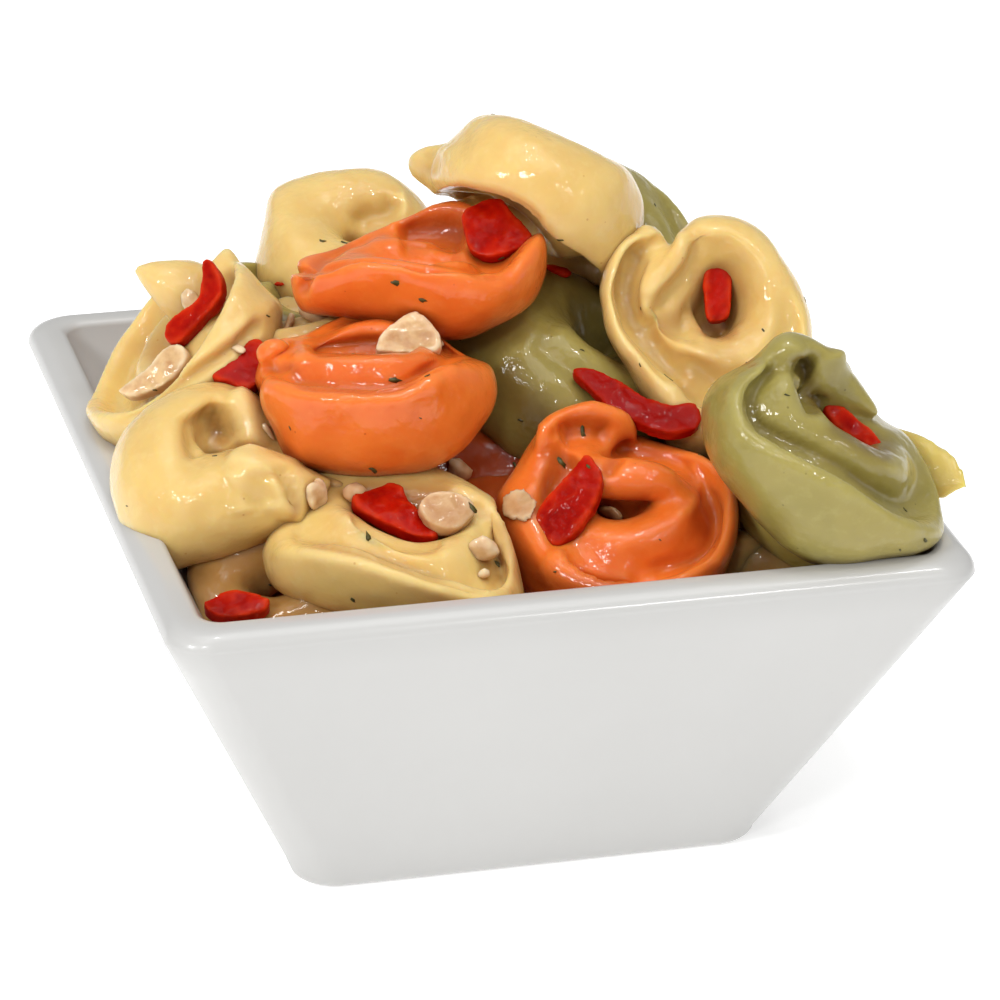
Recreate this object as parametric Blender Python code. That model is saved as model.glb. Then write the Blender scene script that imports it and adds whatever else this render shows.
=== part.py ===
"""Square porcelain dish heaped with folded ring pasta, red pepper and onion.

Named sizes are millimetres, scaled by MM where a mesh is made. The dish stands
on the XY plane, centred on the Z axis, and -Y is its near side.
"""
import math
from dataclasses import dataclass

import bmesh
import bpy
import numpy as np

MM = 0.001
GAP = 0.3

RIM_SIDE = 107.6
BASE_SIDE = 64.9
DISH_HEIGHT = 50.5
WALL = 5.8
FLOOR = 5.0
CORNER_RADIUS = 5.4
LIP_ROUND = 2.6
EDGE_ROUND = 1.2
BASE_ROUND = 1.8
INNER_ROUND = 5.0
INNER_CORNER = 3.2
CORNER_STEPS = 7

CORE_TOP = 36.0
MOUND_MIDDLE = (-1.0, 6.0)
MOUND = ((41.0, 37.0), (46.0, 31.0), (50.0, 25.0), (54.0, 15.0))
HALF_STEPS = 7
COARSE_STEPS = 5
TENON = 0.12
SEAM_EDGE = 0.6
CUT_EDGE = 0.12
ROUNDS = 12
FOLD_STEPS = 5
FOLD_SIDES = 7
STRIP_STEPS = 6
STRIP_SIDES = 8

# Section of the stuffed tube: out from the ring's own circle, and up towards its open
# side. The first is plain, and the second has the brim that is turned out and up.
PLAIN = np.array([
    (-5.4, 0.3), (-4.7, -3.6), (-1.4, -6.0), (2.8, -5.9), (5.9, -3.2), (7.0, 0.9), (6.4, 4.6),
    (5.0, 6.2), (3.6, 6.7), (2.2, 6.8), (0.4, 6.7), (-2.0, 6.0), (-4.5, 3.7)])
BRIMMED = np.array([
    (-5.4, 0.3), (-4.7, -3.6), (-1.4, -6.0), (3.2, -6.1), (7.0, -3.4), (8.8, 0.8), (9.1, 4.6),
    (8.2, 7.2), (6.8, 7.0), (5.7, 3.8), (3.2, 4.2), (0.2, 6.9), (-3.6, 5.0)])


@dataclass
class Fold:
    """A pinched corner or rolled edge: a tapered tube in its ring's own frame."""
    path: tuple
    radii: tuple
    flat: float = 1.0


@dataclass
class Ring:
    """One folded ring of pasta: where it lies and how its tube is shaped.

    turn, tip and spin set the ring on its bearing, leaned over and turned about
    its own axis, in degrees. Its ends meet at 90 on the ring: end one comes round
    from 0 and end two from 180, each going on past the meeting by its lap. A bump
    is a ring angle and a spread, then how much further out, further up, wider,
    taller and more brimmed the tube is there. A coarse ring, one that lies deep or
    far round the back, has fewer loops and sides.
    """
    place: tuple
    turn: float
    tip: float
    spin: float
    size: float = 1.0
    body: float = 1.08
    wide: float = 1.0
    deep: float = 1.0
    hand: int = 1
    brim: float = 1.0
    brim_at: float = -90.0
    brim_span: float = 150.0
    lap: tuple = (40.0, 40.0)
    out: tuple = (1.5, -1.2)
    lift: tuple = (3.0, -1.5)
    pinch: tuple = (0.5, 0.5)
    squash: tuple = (0.15, 0.15)
    bumps: tuple = ()
    folds: tuple = ()
    coarse: bool = False


@dataclass
class Strip:
    """A cut piece of vegetable: a flat strip along a path in its own frame."""
    place: tuple
    turn: float
    tip: float
    spin: float
    path: tuple
    widths: tuple
    thick: float = 2.6


RING_RADIUS = 8.0

RINGS = {
    "egg_right": Ring(
        (30.3, -3.0, 66.0), -99, 48, 154, size=0.96, body=1.1, hand=-1, brim_at=30, brim_span=170,
        lap=(30, 70), out=(6.0, -5.0), lift=(3.5, 2.0), pinch=(0.0, 0.4), squash=(0.0, 0.15)),
    "tomato_front": Ring(
        (11.9, -23.8, 47.0), -102, 29, 113, body=1.15, brim_at=-30, lap=(30, 40), out=(0.0, -2.5),
        lift=(2.0, 0.0), pinch=(0.1, 0.5), bumps=((45, 50, -1.5, -3, -0.1, -0.15, -0.8),),
        folds=(Fold(((-8.6, 7.7, 8.0), (-5.8, 11.4, 9.5), (-2.4, 12.5, 10.1), (1.7, 11.8, 9.9),
                     (5.1, 10.4, 8.3), (6.3, 8.8, 5.9), (6.5, 7.6, 3.3)),
                    (1.8, 1.8, 1.8, 1.8, 1.7, 1.7, 1.6)),
               Fold(((-5.1, 10.6, 6.1), (-2.0, 12.3, 6.4), (1.9, 11.8, 6.3), (5.2, 9.8, 4.8),
                     (6.3, 8.6, 2.6)), (2.6, 3.0, 3.0, 2.8, 2.0)),
               Fold(((-5.7, 5.3, 7.6), (-0.3, 1.2, 8.1), (5.0, -1.7, 6.9), (2.8, -2.3, 3.2)),
                    (3.2, 3.0, 2.4, 1.6)))),
    "spinach_right": Ring(
        (36.6, -35.9, 60.0), -47, 44, 90, body=1.12, deep=1.08, brim_at=-190, brim_span=170,
        out=(-1, 1), lift=(-1, 2), bumps=((0, 60, 0, -1.5, 0, -0.15, 0),),
        folds=(Fold(((-8.2, 11.0, -1.3), (-6.6, 14.4, 4.1), (-1.8, 13.5, 8.3), (2.7, 10.0, 8.8)),
                    (2.6, 2.4, 2.2, 1.6)),
               Fold(((0.1, 9.2, 4.0), (2.2, 9.4, 8.2), (4.2, 7.8, 8.9)), (3.5, 3.2, 1.6)))),
    "tomato_middle": Ring(
        (-18.9, -12.2, 62.0), -112, 10, -163, body=1.12, wide=0.85, deep=1.02, brim=0.75,
        brim_at=-120, brim_span=170, out=(-1, 1.5), bumps=((-90, 40, 0, 0, 0, -0.1, 0),)),
    "tomato_top": Ring(
        (-9.1, 3.1, 73.0), 165, 8, -88, body=1.02, wide=0.8, deep=1.04, brim=0.75, brim_at=-120,
        brim_span=170, out=(-1, 1.5), bumps=((-70, 50, 0, -3, 0.1, 0, -0.6),
                                             (-150, 50, 0, -1.5, 0.1, 0.15, 0))),
    "egg_top": Ring(
        (11.1, 14.6, 80.0), -141, 143, 166, deep=1.02, brim=0.7, out=(0, 2),
        folds=(Fold(((0.1, 10.8, 1.6), (-0.6, 15.1, 1.6), (-0.5, 18.8, 2.2)), (6, 3.6, 1.6)),)),
    "egg_back": Ring((-11.1, 30.0, 65.0), 91, 164, -177, size=0.88, body=1.15, brim=0.3),
    "egg_left": Ring(
        (-36.0, 13.2, 60.0), 174, 48, 110, size=0.91, deep=1.05, brim_at=-60, brim_span=180,
        lap=(10, 10), out=(1, 1), lift=(1, 0), pinch=(0.3, 0.5),
        folds=(Fold(((-3.6, 6.2, 2.4), (-2.9, 4.8, 8.1), (-4.1, 3.7, 12.9)), (5.5, 3.6, 0.6)),
               Fold(((-1.1, 6.5, 1.8), (0.7, 10.5, 3.7), (0.4, 13.4, 5.2)), (6, 3.2, 0.7)))),
    "egg_near_left": Ring(
        (-37.0, -13.7, 54.4), 114, 159, -150, size=0.9, body=1.12, brim=0.6, lap=(50, 40),
        out=(-2, 3), lift=(-1, -1),
        folds=(Fold(((-6.0, 3.3, -2.3), (-7.8, 7.9, -5.2), (-6.4, 12.9, -8.6)), (7, 6.2, 1.4)),)),
    "egg_near": Ring(
        (-18.8, -28.1, 48.0), -77, 20, -22, body=1.1, deep=1.05, brim_at=10, brim_span=160,
        out=(0, 0), lift=(1, 0), bumps=((-110, 50, 0, -3, 0, -0.15, -0.8),)),
    "spinach_middle": Ring((14.1, 3.4, 57.0), 147, 149, -146, size=1.05, body=1.15, brim=0.5),
    "spinach_back": Ring((26.6, 25.3, 65.0), -37, 34, 60, brim=0.5),
    "spinach_left": Ring((-21.1, 19.8, 58.0), 14, 17, 145, size=0.85, brim=0.5),
    "egg_far_right": Ring(
        (39.5, -23.0, 52.0), -41, 48, -59, size=0.85, brim=0.8, out=(1, 1), pinch=(0.3, 0.5),
        folds=(Fold(((-0.6, 3.7, 7.7), (-0.5, 4.3, 9.0), (1.9, 6.6, 13.3), (4.8, 8.5, 16.1),
                     (7.3, 10.7, 18.1)), (3.0, 3.4, 3.0, 2.5, 0.5), 0.45),)),
    "tomato_deep": Ring((1.8, -3.7, 47.0), 26, 13, 135, brim=0.8, coarse=True),
    "egg_deep": Ring((30.0, -19.5, 40.0), -25, 9, -175, brim=0.8, coarse=True),
    "egg_corner": Ring((-33.0, -25.4, 42.0), -128, 35, -150, size=0.9, brim=0.8, coarse=True),
    "egg_middle": Ring((27.6, 1.6, 46.0), -73, 23, -42, brim=0.8, coarse=True),
    "egg_hidden": Ring((-21.6, 13.2, 59.0), 131, 15, -39, size=0.9, brim=0.8, coarse=True),
    "egg_far": Ring((4.0, 31.0, 50.0), 80, 30, 40, brim=0.9, coarse=True),
    "tomato_far": Ring((33.0, 34.0, 50.0), 40, 35, -60, brim=0.9, coarse=True),
    "spinach_side": Ring((33.0, 13.0, 51.0), 10, 30, 120, size=0.95, brim=0.9, coarse=True),
    "tomato_far_left": Ring((-20.0, 26.0, 46.0), 120, 25, 0, brim=0.9, coarse=True),
    "egg_far_corner": Ring((-28.5, 29.0, 34.0), 20, -8, 60, size=0.9, brim=0.9, coarse=True),
}

STRIPS = {
    "red_pepper_top": Strip((2.5, 3.0, 78.8), -115, 39, 96,
                            ((-4.6, 0.6), (0.0, 0.2), (4.8, -1.4)), (3.0, 4.2, 1.6)),
    "red_pepper_long": Strip((17.3, -15.6, 60.0), -98, 34, 88,
                             ((-8.4, 4.7), (-4.4, 3.2), (0.2, -0.2), (4.8, -2.8), (8.3, -2.8)),
                             (0.7, 1.7, 2.2, 2.1, 1.2)),
    "red_pepper_right": Strip((32.0, -3.0, 69.7), -106, 54, 92,
                              ((-0.4, 4.2), (0.1, 0.0), (0.0, -4.2)), (1.4, 1.9, 1.5)),
    "red_pepper_near": Strip((4.5, -29.4, 52.9), -121, 47, 98,
                             ((2.3, 6.1), (1.2, 2.2), (-1.2, -2.2), (-1.6, -6.1)),
                             (1.0, 3.0, 3.2, 0.9)),
    "red_pepper_spinach": Strip((40.6, -36.3, 62.8), -84, 45, 82,
                                ((-3.8, 3.4), (0.0, 0.4), (3.9, -3.1)), (0.9, 1.7, 0.8)),
    "red_pepper_cup": Strip((-19.0, -27.6, 52.7), -95, 28, 86,
                            ((-5.2, 1.4), (-1.2, 1.2), (1.8, -1.0), (5.0, -4.0)),
                            (1.1, 2.9, 2.6, 0.8)),
    "red_pepper_left": Strip((-37.6, 8.0, 69.4), -135, 48, 104,
                             ((0.6, 5.9), (2.0, 2.2), (1.4, -0.8), (-1.4, -3.4), (-2.8, -5.9)),
                             (0.8, 1.7, 1.8, 1.9, 0.9)),
    "red_pepper_gap": Strip((-34.2, -2.3, 64.1), -107, 38, 92,
                            ((3.0, 3.4), (1.0, 0.0), (-2.9, -2.2)), (1.0, 2.8, 1.1)),
    "red_pepper_corner": Strip((-41.2, -33.2, 44.0), -107, 28, 93,
                               ((-3.6, 0.0), (0.0, 0.3), (4.2, 0.0)), (1.0, 1.9, 1.1)),
    "onion_top": Strip((-13.5, -11.4, 70.8), -107, 34, 92,
                       ((-4.2, -2.2), (0.0, 0.0), (4.0, 0.8)), (0.9, 2.6, 2.0)),
    "onion_left": Strip((-44.2, 4.8, 61.2), -133, 52, 103,
                        ((-4.6, -2.7), (0.0, -0.3), (4.3, 2.6)), (0.9, 2.3, 1.3)),
    "onion_cup": Strip((-12.7, -30.5, 53.6), -90, 39, 85,
                       ((-3.4, 0.0), (0.0, 0.0), (3.4, 0.3)), (1.7, 2.5, 1.7)),
}


def ease(value, low, high):
    t = np.clip((value - low) / (high - low), 0.0, 1.0)
    return t * t * (3.0 - 2.0 * t)


def bearing(turn, tip, spin):
    """Rotation that turns a piece on its axis, leans it over and swings it round."""
    t, p, s = np.radians([turn, tip, spin])
    swing = np.array([(math.cos(t), -math.sin(t), 0), (math.sin(t), math.cos(t), 0), (0, 0, 1)])
    lean = np.array([(math.cos(p), 0, math.sin(p)), (0, 1, 0), (-math.sin(p), 0, math.cos(p))])
    own = np.array([(math.cos(s), -math.sin(s), 0), (math.sin(s), math.cos(s), 0), (0, 0, 1)])
    return swing @ lean @ own


def smooth_path(points, count):
    """Evenly counted points on a Catmull-Rom curve through the given ones."""
    points = np.array(points, float)
    ends = np.vstack([2 * points[0] - points[1], points, 2 * points[-1] - points[-2]])
    u = np.linspace(0.0, len(points) - 1.0, count)
    i = np.minimum(u.astype(int), len(points) - 2)
    t = (u - i)[:, None]
    a, b, c, d = ends[i], ends[i + 1], ends[i + 2], ends[i + 3]
    return 0.5 * (2 * b + (c - a) * t + (2 * a - 5 * b + 4 * c - d) * t ** 2
                  + (3 * b - a - 3 * c + d) * t ** 3)


def ring_section(ring, s):
    """The ring's section at s, from -1 at end two to 1 at end one, in its own frame."""
    end = 0 if s > 0 else 1
    angle = -90.0 + s * (180.0 + ring.lap[end])
    out = up = brim = 0.0
    wider = taller = 1.0
    for at, spread, more_out, more_up, more_wide, more_tall, more_brim in ring.bumps:
        near = math.exp(-((angle - at) / spread) ** 2)
        out += near * more_out
        up += near * more_up
        wider += near * more_wide
        taller += near * more_tall
        brim += near * more_brim
    away = abs(angle - ring.brim_at)
    brim += ring.brim * (1.0 - ease(away, 0.55 * ring.brim_span, ring.brim_span))
    brim = min(max(brim, 0.0), 1.7)
    section = PLAIN * (1.0 - brim) + BRIMMED * brim
    reach = abs(s)
    close = (1.0 - reach ** 5) ** (1.0 / 2.2)
    narrow = close * (1.0 - ring.pinch[end] * ease(reach, 0.62, 0.97))
    lower = close * (1.0 - ring.squash[end] * ease(reach, 0.6, 0.97))
    r = 1.0 + (section[:, 0] * ring.body * wider - 1.0) * narrow
    z = 0.8 + (section[:, 1] * ring.body * taller - 0.8) * lower
    near_end = ease(reach, 0.7, 1.0)
    r = RING_RADIUS + r + out + ring.out[end] * near_end
    z = z + up + ring.lift[end] * near_end
    a = math.radians(angle)
    return ring.size * np.stack([r * math.cos(a) * ring.wide * ring.hand,
                                 r * math.sin(a) * ring.deep, z], 1)


def skin(bm, loops):
    """Close the loops of points into a tube with a cap at each end."""
    rows = [[bm.verts.new(p * MM) for p in loop] for loop in loops]
    for low, high in zip(rows, rows[1:]):
        for i in range(len(low)):
            j = (i + 1) % len(low)
            bm.faces.new((low[i], low[j], high[j], high[i]))
    for row in (rows[0], rows[-1]):
        middle = bm.verts.new(sum((v.co for v in row), rows[0][0].co * 0.0) / len(row))
        for i in range(len(row)):
            bm.faces.new((row[i], row[(i + 1) % len(row)], middle))


def make_object(name, build, collection):
    """A mesh object whose faces all look outwards, from a function that fills a bmesh."""
    bm = bmesh.new()
    build(bm)
    bmesh.ops.recalc_face_normals(bm, faces=bm.faces)
    bmesh.ops.triangulate(bm, faces=bm.faces)
    if bm.calc_volume(signed=True) < 0.0:
        bmesh.ops.reverse_faces(bm, faces=bm.faces)
    mesh = bpy.data.meshes.new(name)
    bm.to_mesh(mesh)
    bm.free()
    thing = bpy.data.objects.new(name, mesh)
    collection.objects.link(thing)
    return thing


def ring_halves(name, ring, collection):
    """Both halves of a ring, each with a slimmer tenon that reaches into the other."""
    turn = bearing(ring.turn, ring.tip, ring.spin)
    for side in (1.0, -1.0):
        count = COARSE_STEPS if ring.coarse else HALF_STEPS
        steps = np.sin(np.linspace(0.0, 1.0, count + 1) * 0.86) / math.sin(0.86)
        loops = [ring_section(ring, side * s) for s in steps[:-1]]
        loops.append(ring_section(ring, side * 0.995))
        tenon = ring_section(ring, -side * TENON)
        if side < 0:
            loops[0] = loops[0].mean(0) + (loops[0] - loops[0].mean(0)) * 0.99
        loops.insert(0, tenon.mean(0) + (tenon - tenon.mean(0)) * 0.85)
        if ring.coarse:
            loops = [loop[::2] for loop in loops]
        loops = [loop @ turn.T + np.array(ring.place) for loop in loops]
        make_object(name, lambda bm: skin(bm, loops), collection)


def tube_loops(path, radii, count, sides, across, flat):
    """Loops of a tapered tube: radii lie across it, flat is its size the other way."""
    centres = smooth_path(path, count + 1)
    sizes = smooth_path([(r, 0.0, 0.0) for r in radii], count + 1)[:, 0]
    along = np.gradient(centres, axis=0)
    loops = []
    for k, (centre, size) in enumerate(zip(centres, sizes)):
        reach = 2.0 * k / count - 1.0
        close = (1.0 - 0.97 * abs(reach) ** 6) ** (1.0 / 2.2)
        t = along[k] / np.linalg.norm(along[k])
        up = across - t * (across @ t)
        up /= np.linalg.norm(up)
        side = np.cross(t, up)
        v = 2.0 * math.pi * np.arange(sides) / sides
        loops.append(centre + close * (np.outer(np.cos(v) * flat(size), up)
                                       + np.outer(np.sin(v) * size, side)))
    return loops


def ring_folds(name, ring, collection):
    turn = bearing(ring.turn, ring.tip, ring.spin)
    for fold in ring.folds:
        path = np.array(fold.path, float)
        across = np.cross(path[-1] - path[0], path[len(path) // 2] - path[0])
        loops = tube_loops(path, fold.radii, max(FOLD_STEPS, len(path)), FOLD_SIDES,
                           across / np.linalg.norm(across), lambda size: size * fold.flat)
        loops = [loop @ turn.T + np.array(ring.place) for loop in loops]
        make_object(name + "_fold", lambda bm: skin(bm, loops), collection)


def strip_object(name, strip, collection, grow=0.0):
    """A vegetable strip, or with grow the space kept clear round it."""
    turn = bearing(strip.turn, strip.tip, strip.spin)
    path = [(x, y, 0.0) for x, y in strip.path]
    path = [np.array(p) for p in path]
    lead = (path[0] - path[1]) / np.linalg.norm(path[0] - path[1])
    tail = (path[-1] - path[-2]) / np.linalg.norm(path[-1] - path[-2])
    path[0], path[-1] = path[0] + lead * grow, path[-1] + tail * grow
    loops = tube_loops(path, [w + grow for w in strip.widths], STRIP_STEPS, STRIP_SIDES,
                       np.array([0.0, 0.0, 1.0]), lambda size: 0.5 * strip.thick + grow)
    loops = [loop @ turn.T + np.array(strip.place) for loop in loops]
    return make_object(name, lambda bm: skin(bm, loops), collection)


def square_loop(half, radius, z):
    """A level square with rounded corners."""
    loop = []
    for quarter in range(4):
        sx, sy = ((1, 1), (-1, 1), (-1, -1), (1, -1))[quarter]
        for k in range(CORNER_STEPS):
            a = 0.5 * math.pi * (quarter + k / (CORNER_STEPS - 1))
            loop.append((sx * (half - radius) + radius * math.cos(a),
                         sy * (half - radius) + radius * math.sin(a), z))
    return np.array(loop)


def outer_half(z):
    """Half width of the outside wall, whose line meets the rim just under its lip."""
    low, high = BASE_ROUND, DISH_HEIGHT - LIP_ROUND
    return 0.5 * (BASE_SIDE + (RIM_SIDE - BASE_SIDE) * (z - low) / (high - low))


def inner_half(z):
    return outer_half(z) - WALL


def dish_loops(grow=0.0):
    """Loops up the outside, over the lip and down inside, all pushed out by grow."""
    loops = []
    for step in (0.0, 0.5, 1.0):
        turn = 0.5 * math.pi * step
        z = BASE_ROUND * (1.0 - math.sin(turn))
        half = outer_half(BASE_ROUND) - BASE_ROUND * (1.0 - math.cos(turn))
        loops.append((half + grow, z - grow, CORNER_RADIUS))
    loops.reverse()
    for step in (0.0, 0.33, 0.67, 1.0):
        turn = 0.5 * math.pi * step
        z = DISH_HEIGHT - LIP_ROUND * (1.0 - math.sin(turn))
        half = outer_half(DISH_HEIGHT - LIP_ROUND) - LIP_ROUND * (1.0 - math.cos(turn))
        loops.append((half + grow, z + grow * step, CORNER_RADIUS))
    for step in (1.0, 0.5, 0.0):
        turn = 0.5 * math.pi * step
        z = DISH_HEIGHT - EDGE_ROUND * (1.0 - math.sin(turn))
        half = inner_half(DISH_HEIGHT - EDGE_ROUND) + EDGE_ROUND * (1.0 - math.cos(turn))
        loops.append((half - grow, z + grow * step, INNER_CORNER))
    for step in (0.0, 0.33, 0.67, 1.0):
        turn = 0.5 * math.pi * step
        z = FLOOR + INNER_ROUND * (1.0 - math.sin(turn))
        half = inner_half(FLOOR + INNER_ROUND) - INNER_ROUND * (1.0 - math.cos(turn))
        loops.append((half - grow, z + grow * step, INNER_CORNER))
    return [square_loop(half, radius, z) for half, z, radius in loops]


def core_loops():
    """The packed middle of the heap, cut to the dish later, mounding up under the rings."""
    loops = [square_loop(inner_half(z) + 0.3 * WALL, CORNER_RADIUS, z)
             for z in (0.5 * FLOOR, CORE_TOP)]
    for z, half in MOUND:
        loops.append(square_loop(half, 0.6 * half, z) + np.array((*MOUND_MIDDLE, 0.0)))
    return loops


def combine(target, collection, operation, solver):
    """Apply one Boolean of a whole collection to target, then remove the collection."""
    join = target.modifiers.new(operation.lower(), "BOOLEAN")
    join.operation = operation
    join.operand_type = "COLLECTION"
    join.collection = collection
    join.solver = solver
    graph = bpy.context.evaluated_depsgraph_get()
    mesh = bpy.data.meshes.new_from_object(target.evaluated_get(graph))
    target.modifiers.clear()
    target.data = mesh
    for thing in list(collection.objects):
        bpy.data.objects.remove(thing)
    bpy.data.collections.remove(collection)


def triangle_mesh(mesh):
    """The mesh in triangles, without the points that only split a straight edge."""
    bm = bmesh.new()
    bm.from_mesh(mesh)
    spare = [vert for vert in bm.verts if len(vert.link_edges) == 2]
    bmesh.ops.dissolve_verts(bm, verts=spare)
    bmesh.ops.triangulate(bm, faces=bm.faces)
    return bm


def around(vert):
    return {edge.other_vert(vert) for edge in vert.link_edges}


def stays_sound(first, second, middle):
    """Whether the edge between two points can close up without a fold or a pinch."""
    if not (first.is_manifold and second.is_manifold):
        return False
    if len(around(first) & around(second)) != 2:
        return False
    for vert, other in ((first, second), (second, first)):
        for face in vert.link_faces:
            corners = list(face.verts)
            if other in corners:
                continue
            before = face.normal
            p, q, r = (middle if v is vert else v.co for v in corners)
            after = (q - p).cross(r - p)
            if after.length < 1e-12 or after.normalized().dot(before) < 0.5:
                return False
    return True


def close_short_edges(target, limit):
    """Close up the edges under limit, where a union has left slivers along its seams."""
    bm = triangle_mesh(target.data)
    for _ in range(ROUNDS):
        bm.normal_update()
        used, closing = set(), {}
        for edge in sorted(bm.edges, key=lambda e: e.calc_length()):
            if edge.calc_length() > limit * MM:
                break
            first, second = edge.verts
            near = around(first) | around(second)
            if used & near:
                continue
            middle = 0.5 * (first.co + second.co)
            if stays_sound(first, second, middle):
                closing[second] = first
                first.co = middle
                second.co = middle
                used |= near
        if not closing:
            break
        bmesh.ops.weld_verts(bm, targetmap=closing)
    bm.to_mesh(target.data)
    bm.free()


def keep_largest(target):
    """Drop loose scraps and fill sealed hollows: only the largest shell stays."""
    bm = triangle_mesh(target.data)
    seen, shells = set(), []
    for face in bm.faces:
        if face in seen:
            continue
        shell, waiting = [], [face]
        seen.add(face)
        while waiting:
            here = waiting.pop()
            shell.append(here)
            for edge in here.edges:
                for other in edge.link_faces:
                    if other not in seen:
                        seen.add(other)
                        waiting.append(other)
        shells.append(shell)
    shells.sort(key=len)
    for shell in shells[:-1]:
        bmesh.ops.delete(bm, geom=shell, context="FACES")
    bm.to_mesh(target.data)
    bm.free()


def paint(thing, slot, colour, roughness):
    material = bpy.data.materials.get(slot) or bpy.data.materials.new(slot)
    material.use_nodes = True
    shader = material.node_tree.nodes["Principled BSDF"]
    shader.inputs["Base Color"].default_value = (*colour, 1.0)
    shader.inputs["Roughness"].default_value = roughness
    thing.data.materials.clear()
    thing.data.materials.append(material)


def smooth_shade(thing, degrees=40.0):
    thing.data.shade_smooth()
    thing.data.set_sharp_from_angle(angle=math.radians(degrees))


def new_collection(name):
    collection = bpy.data.collections.new(name)
    bpy.context.scene.collection.children.link(collection)
    return collection


def main():
    for thing in list(bpy.data.objects):
        bpy.data.objects.remove(thing)
    scene = bpy.context.scene.collection

    dish = make_object("dish", lambda bm: skin(bm, dish_loops()), scene)
    paint(dish, "porcelain", (0.82, 0.82, 0.80), 0.12)
    smooth_shade(dish)

    heap = make_object("pasta_heap", lambda bm: skin(bm, core_loops()), scene)
    pieces = new_collection("pieces")
    for name, ring in RINGS.items():
        ring_halves(name, ring, pieces)
        ring_folds(name, ring, pieces)
    combine(heap, pieces, "UNION", "EXACT")
    close_short_edges(heap, SEAM_EDGE)

    cutters = new_collection("clearances")
    make_object("dish_space", lambda bm: skin(bm, dish_loops(GAP)), cutters)
    for name, strip in STRIPS.items():
        strip_object(name + "_space", strip, cutters, GAP)
    for cutter in cutters.objects:
        cutter.hide_render = True
        cutter.display_type = "WIRE"
    combine(heap, cutters, "DIFFERENCE", "MANIFOLD")
    close_short_edges(heap, CUT_EDGE)
    keep_largest(heap)
    paint(heap, "pasta", (0.80, 0.58, 0.26), 0.3)
    smooth_shade(heap)

    for name, strip in STRIPS.items():
        piece = strip_object(name, strip, scene)
        if name.startswith("red"):
            paint(piece, "pepper", (0.55, 0.02, 0.015), 0.25)
        else:
            paint(piece, "onion", (0.78, 0.68, 0.50), 0.3)
        smooth_shade(piece)


main()
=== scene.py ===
"""Looks of a square porcelain dish heaped with folded ring pasta, red pepper, onion and herbs.

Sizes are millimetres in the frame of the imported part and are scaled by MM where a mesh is
made. The dish stands on the XY plane, centred on the Z axis, and -Y is its near side.
"""

import logging
import math
import random
from dataclasses import dataclass
from enum import Enum
from typing import Callable, Sequence

import bmesh
import bpy
import numpy as np
from mathutils import Matrix, Vector, noise
from mathutils.bvhtree import BVHTree


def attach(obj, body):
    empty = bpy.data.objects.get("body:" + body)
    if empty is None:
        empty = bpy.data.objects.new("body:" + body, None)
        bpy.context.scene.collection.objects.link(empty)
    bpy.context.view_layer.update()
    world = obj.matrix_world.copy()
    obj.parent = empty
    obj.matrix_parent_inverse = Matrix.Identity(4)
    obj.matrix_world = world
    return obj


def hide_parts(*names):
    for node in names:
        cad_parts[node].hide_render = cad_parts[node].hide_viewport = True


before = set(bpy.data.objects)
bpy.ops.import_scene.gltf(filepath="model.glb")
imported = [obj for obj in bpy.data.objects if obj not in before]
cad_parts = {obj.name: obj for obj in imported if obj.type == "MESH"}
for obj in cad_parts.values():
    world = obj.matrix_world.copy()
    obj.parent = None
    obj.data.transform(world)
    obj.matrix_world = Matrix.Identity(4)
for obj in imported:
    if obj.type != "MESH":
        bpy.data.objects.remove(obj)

Piece = bpy.types.Object
Socket = bpy.types.NodeSocket
Loops = list[tuple[float, float, float]]

LOG = logging.getLogger("pasta_salad")
MM = 0.001
ROOT = "root"

# How a ring's thin edge and a vegetable's cut edge stand proud where they are palest.
DOUGH_EDGE = 0.05
CUT_EDGE = 0.03
# Places along a stroke for each of its marks.
STROKE_STEPS = 12
# What a millimetre further away counts against one across, where a grab looks for its place.
DEPTH_COST = 0.02
# How far a softened point goes to its neighbours' mean, and how deep the softening reaches.
EASE_SHARE = 0.6
EASE_DEPTHS = (9.0, 14.0)
# The plate that pins bend: its unit in pixels, how much it gives, and its largest move as a
# share of the largest pin's.
PLATE_UNIT = 0.01
PLATE_GIVE = 0.002
PLATE_REACH = 1.3
RAYS = 14
# How blunt a closed end of a tube is, how far the rows of a ring's faces draw together there,
# and how many faces go round a fold.
BLUNT = 1.0 / 2.2
ROW_BEND = 0.55
FOLD_SIDES = 14
# How squarely the skin faces the camera where it counts as seen in full, and how far off the
# skin a line of sight starts, in millimetres.
SQUARE_ON = 0.25
OFF_SKIN = 1.2
# How far apart the noise of two seeds lies along each axis, for a skin and for a scrap.
RIPPLES_APART = (7.31, 3.17, 5.79)
LUMPS_APART = (3.7, 1.9, 2.3)

# Section of the stuffed tube: out from the ring's own circle, and up towards its open side.
# The first is plain, and the second has the brim that is turned out and up.
PLAIN = np.array([
    (-5.4, 0.3), (-4.7, -3.6), (-1.4, -6.0), (2.8, -5.9), (5.9, -3.2), (7.0, 0.9), (6.4, 4.6),
    (5.0, 6.2), (3.6, 6.7), (2.2, 6.8), (0.4, 6.7), (-2.0, 6.0), (-4.5, 3.7)])
BRIMMED = np.array([
    (-5.4, 0.3), (-4.7, -3.6), (-1.4, -6.0), (3.2, -6.1), (7.0, -3.4), (8.8, 0.8), (9.1, 4.6),
    (8.2, 7.2), (6.8, 7.0), (5.7, 3.8), (3.2, 4.2), (0.2, 6.9), (-3.6, 5.0)])
# The point that the section shrinks to at a closed end, and the most brim that it can have.
TIP = (1.0, 0.8)
MOST_BRIM = 1.7
RING_RADIUS = 8.0


def ease(value: np.ndarray, low: float, high: float) -> np.ndarray:
    """Smooth step.

    Args:
        value: Where to read the step.
        low: Where it leaves 0.
        high: Where it reaches 1.

    Returns:
        The step's height at each value.
    """
    t = np.clip((value - low) / (high - low), 0.0, 1.0)
    return t * t * (3.0 - 2.0 * t)


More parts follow.
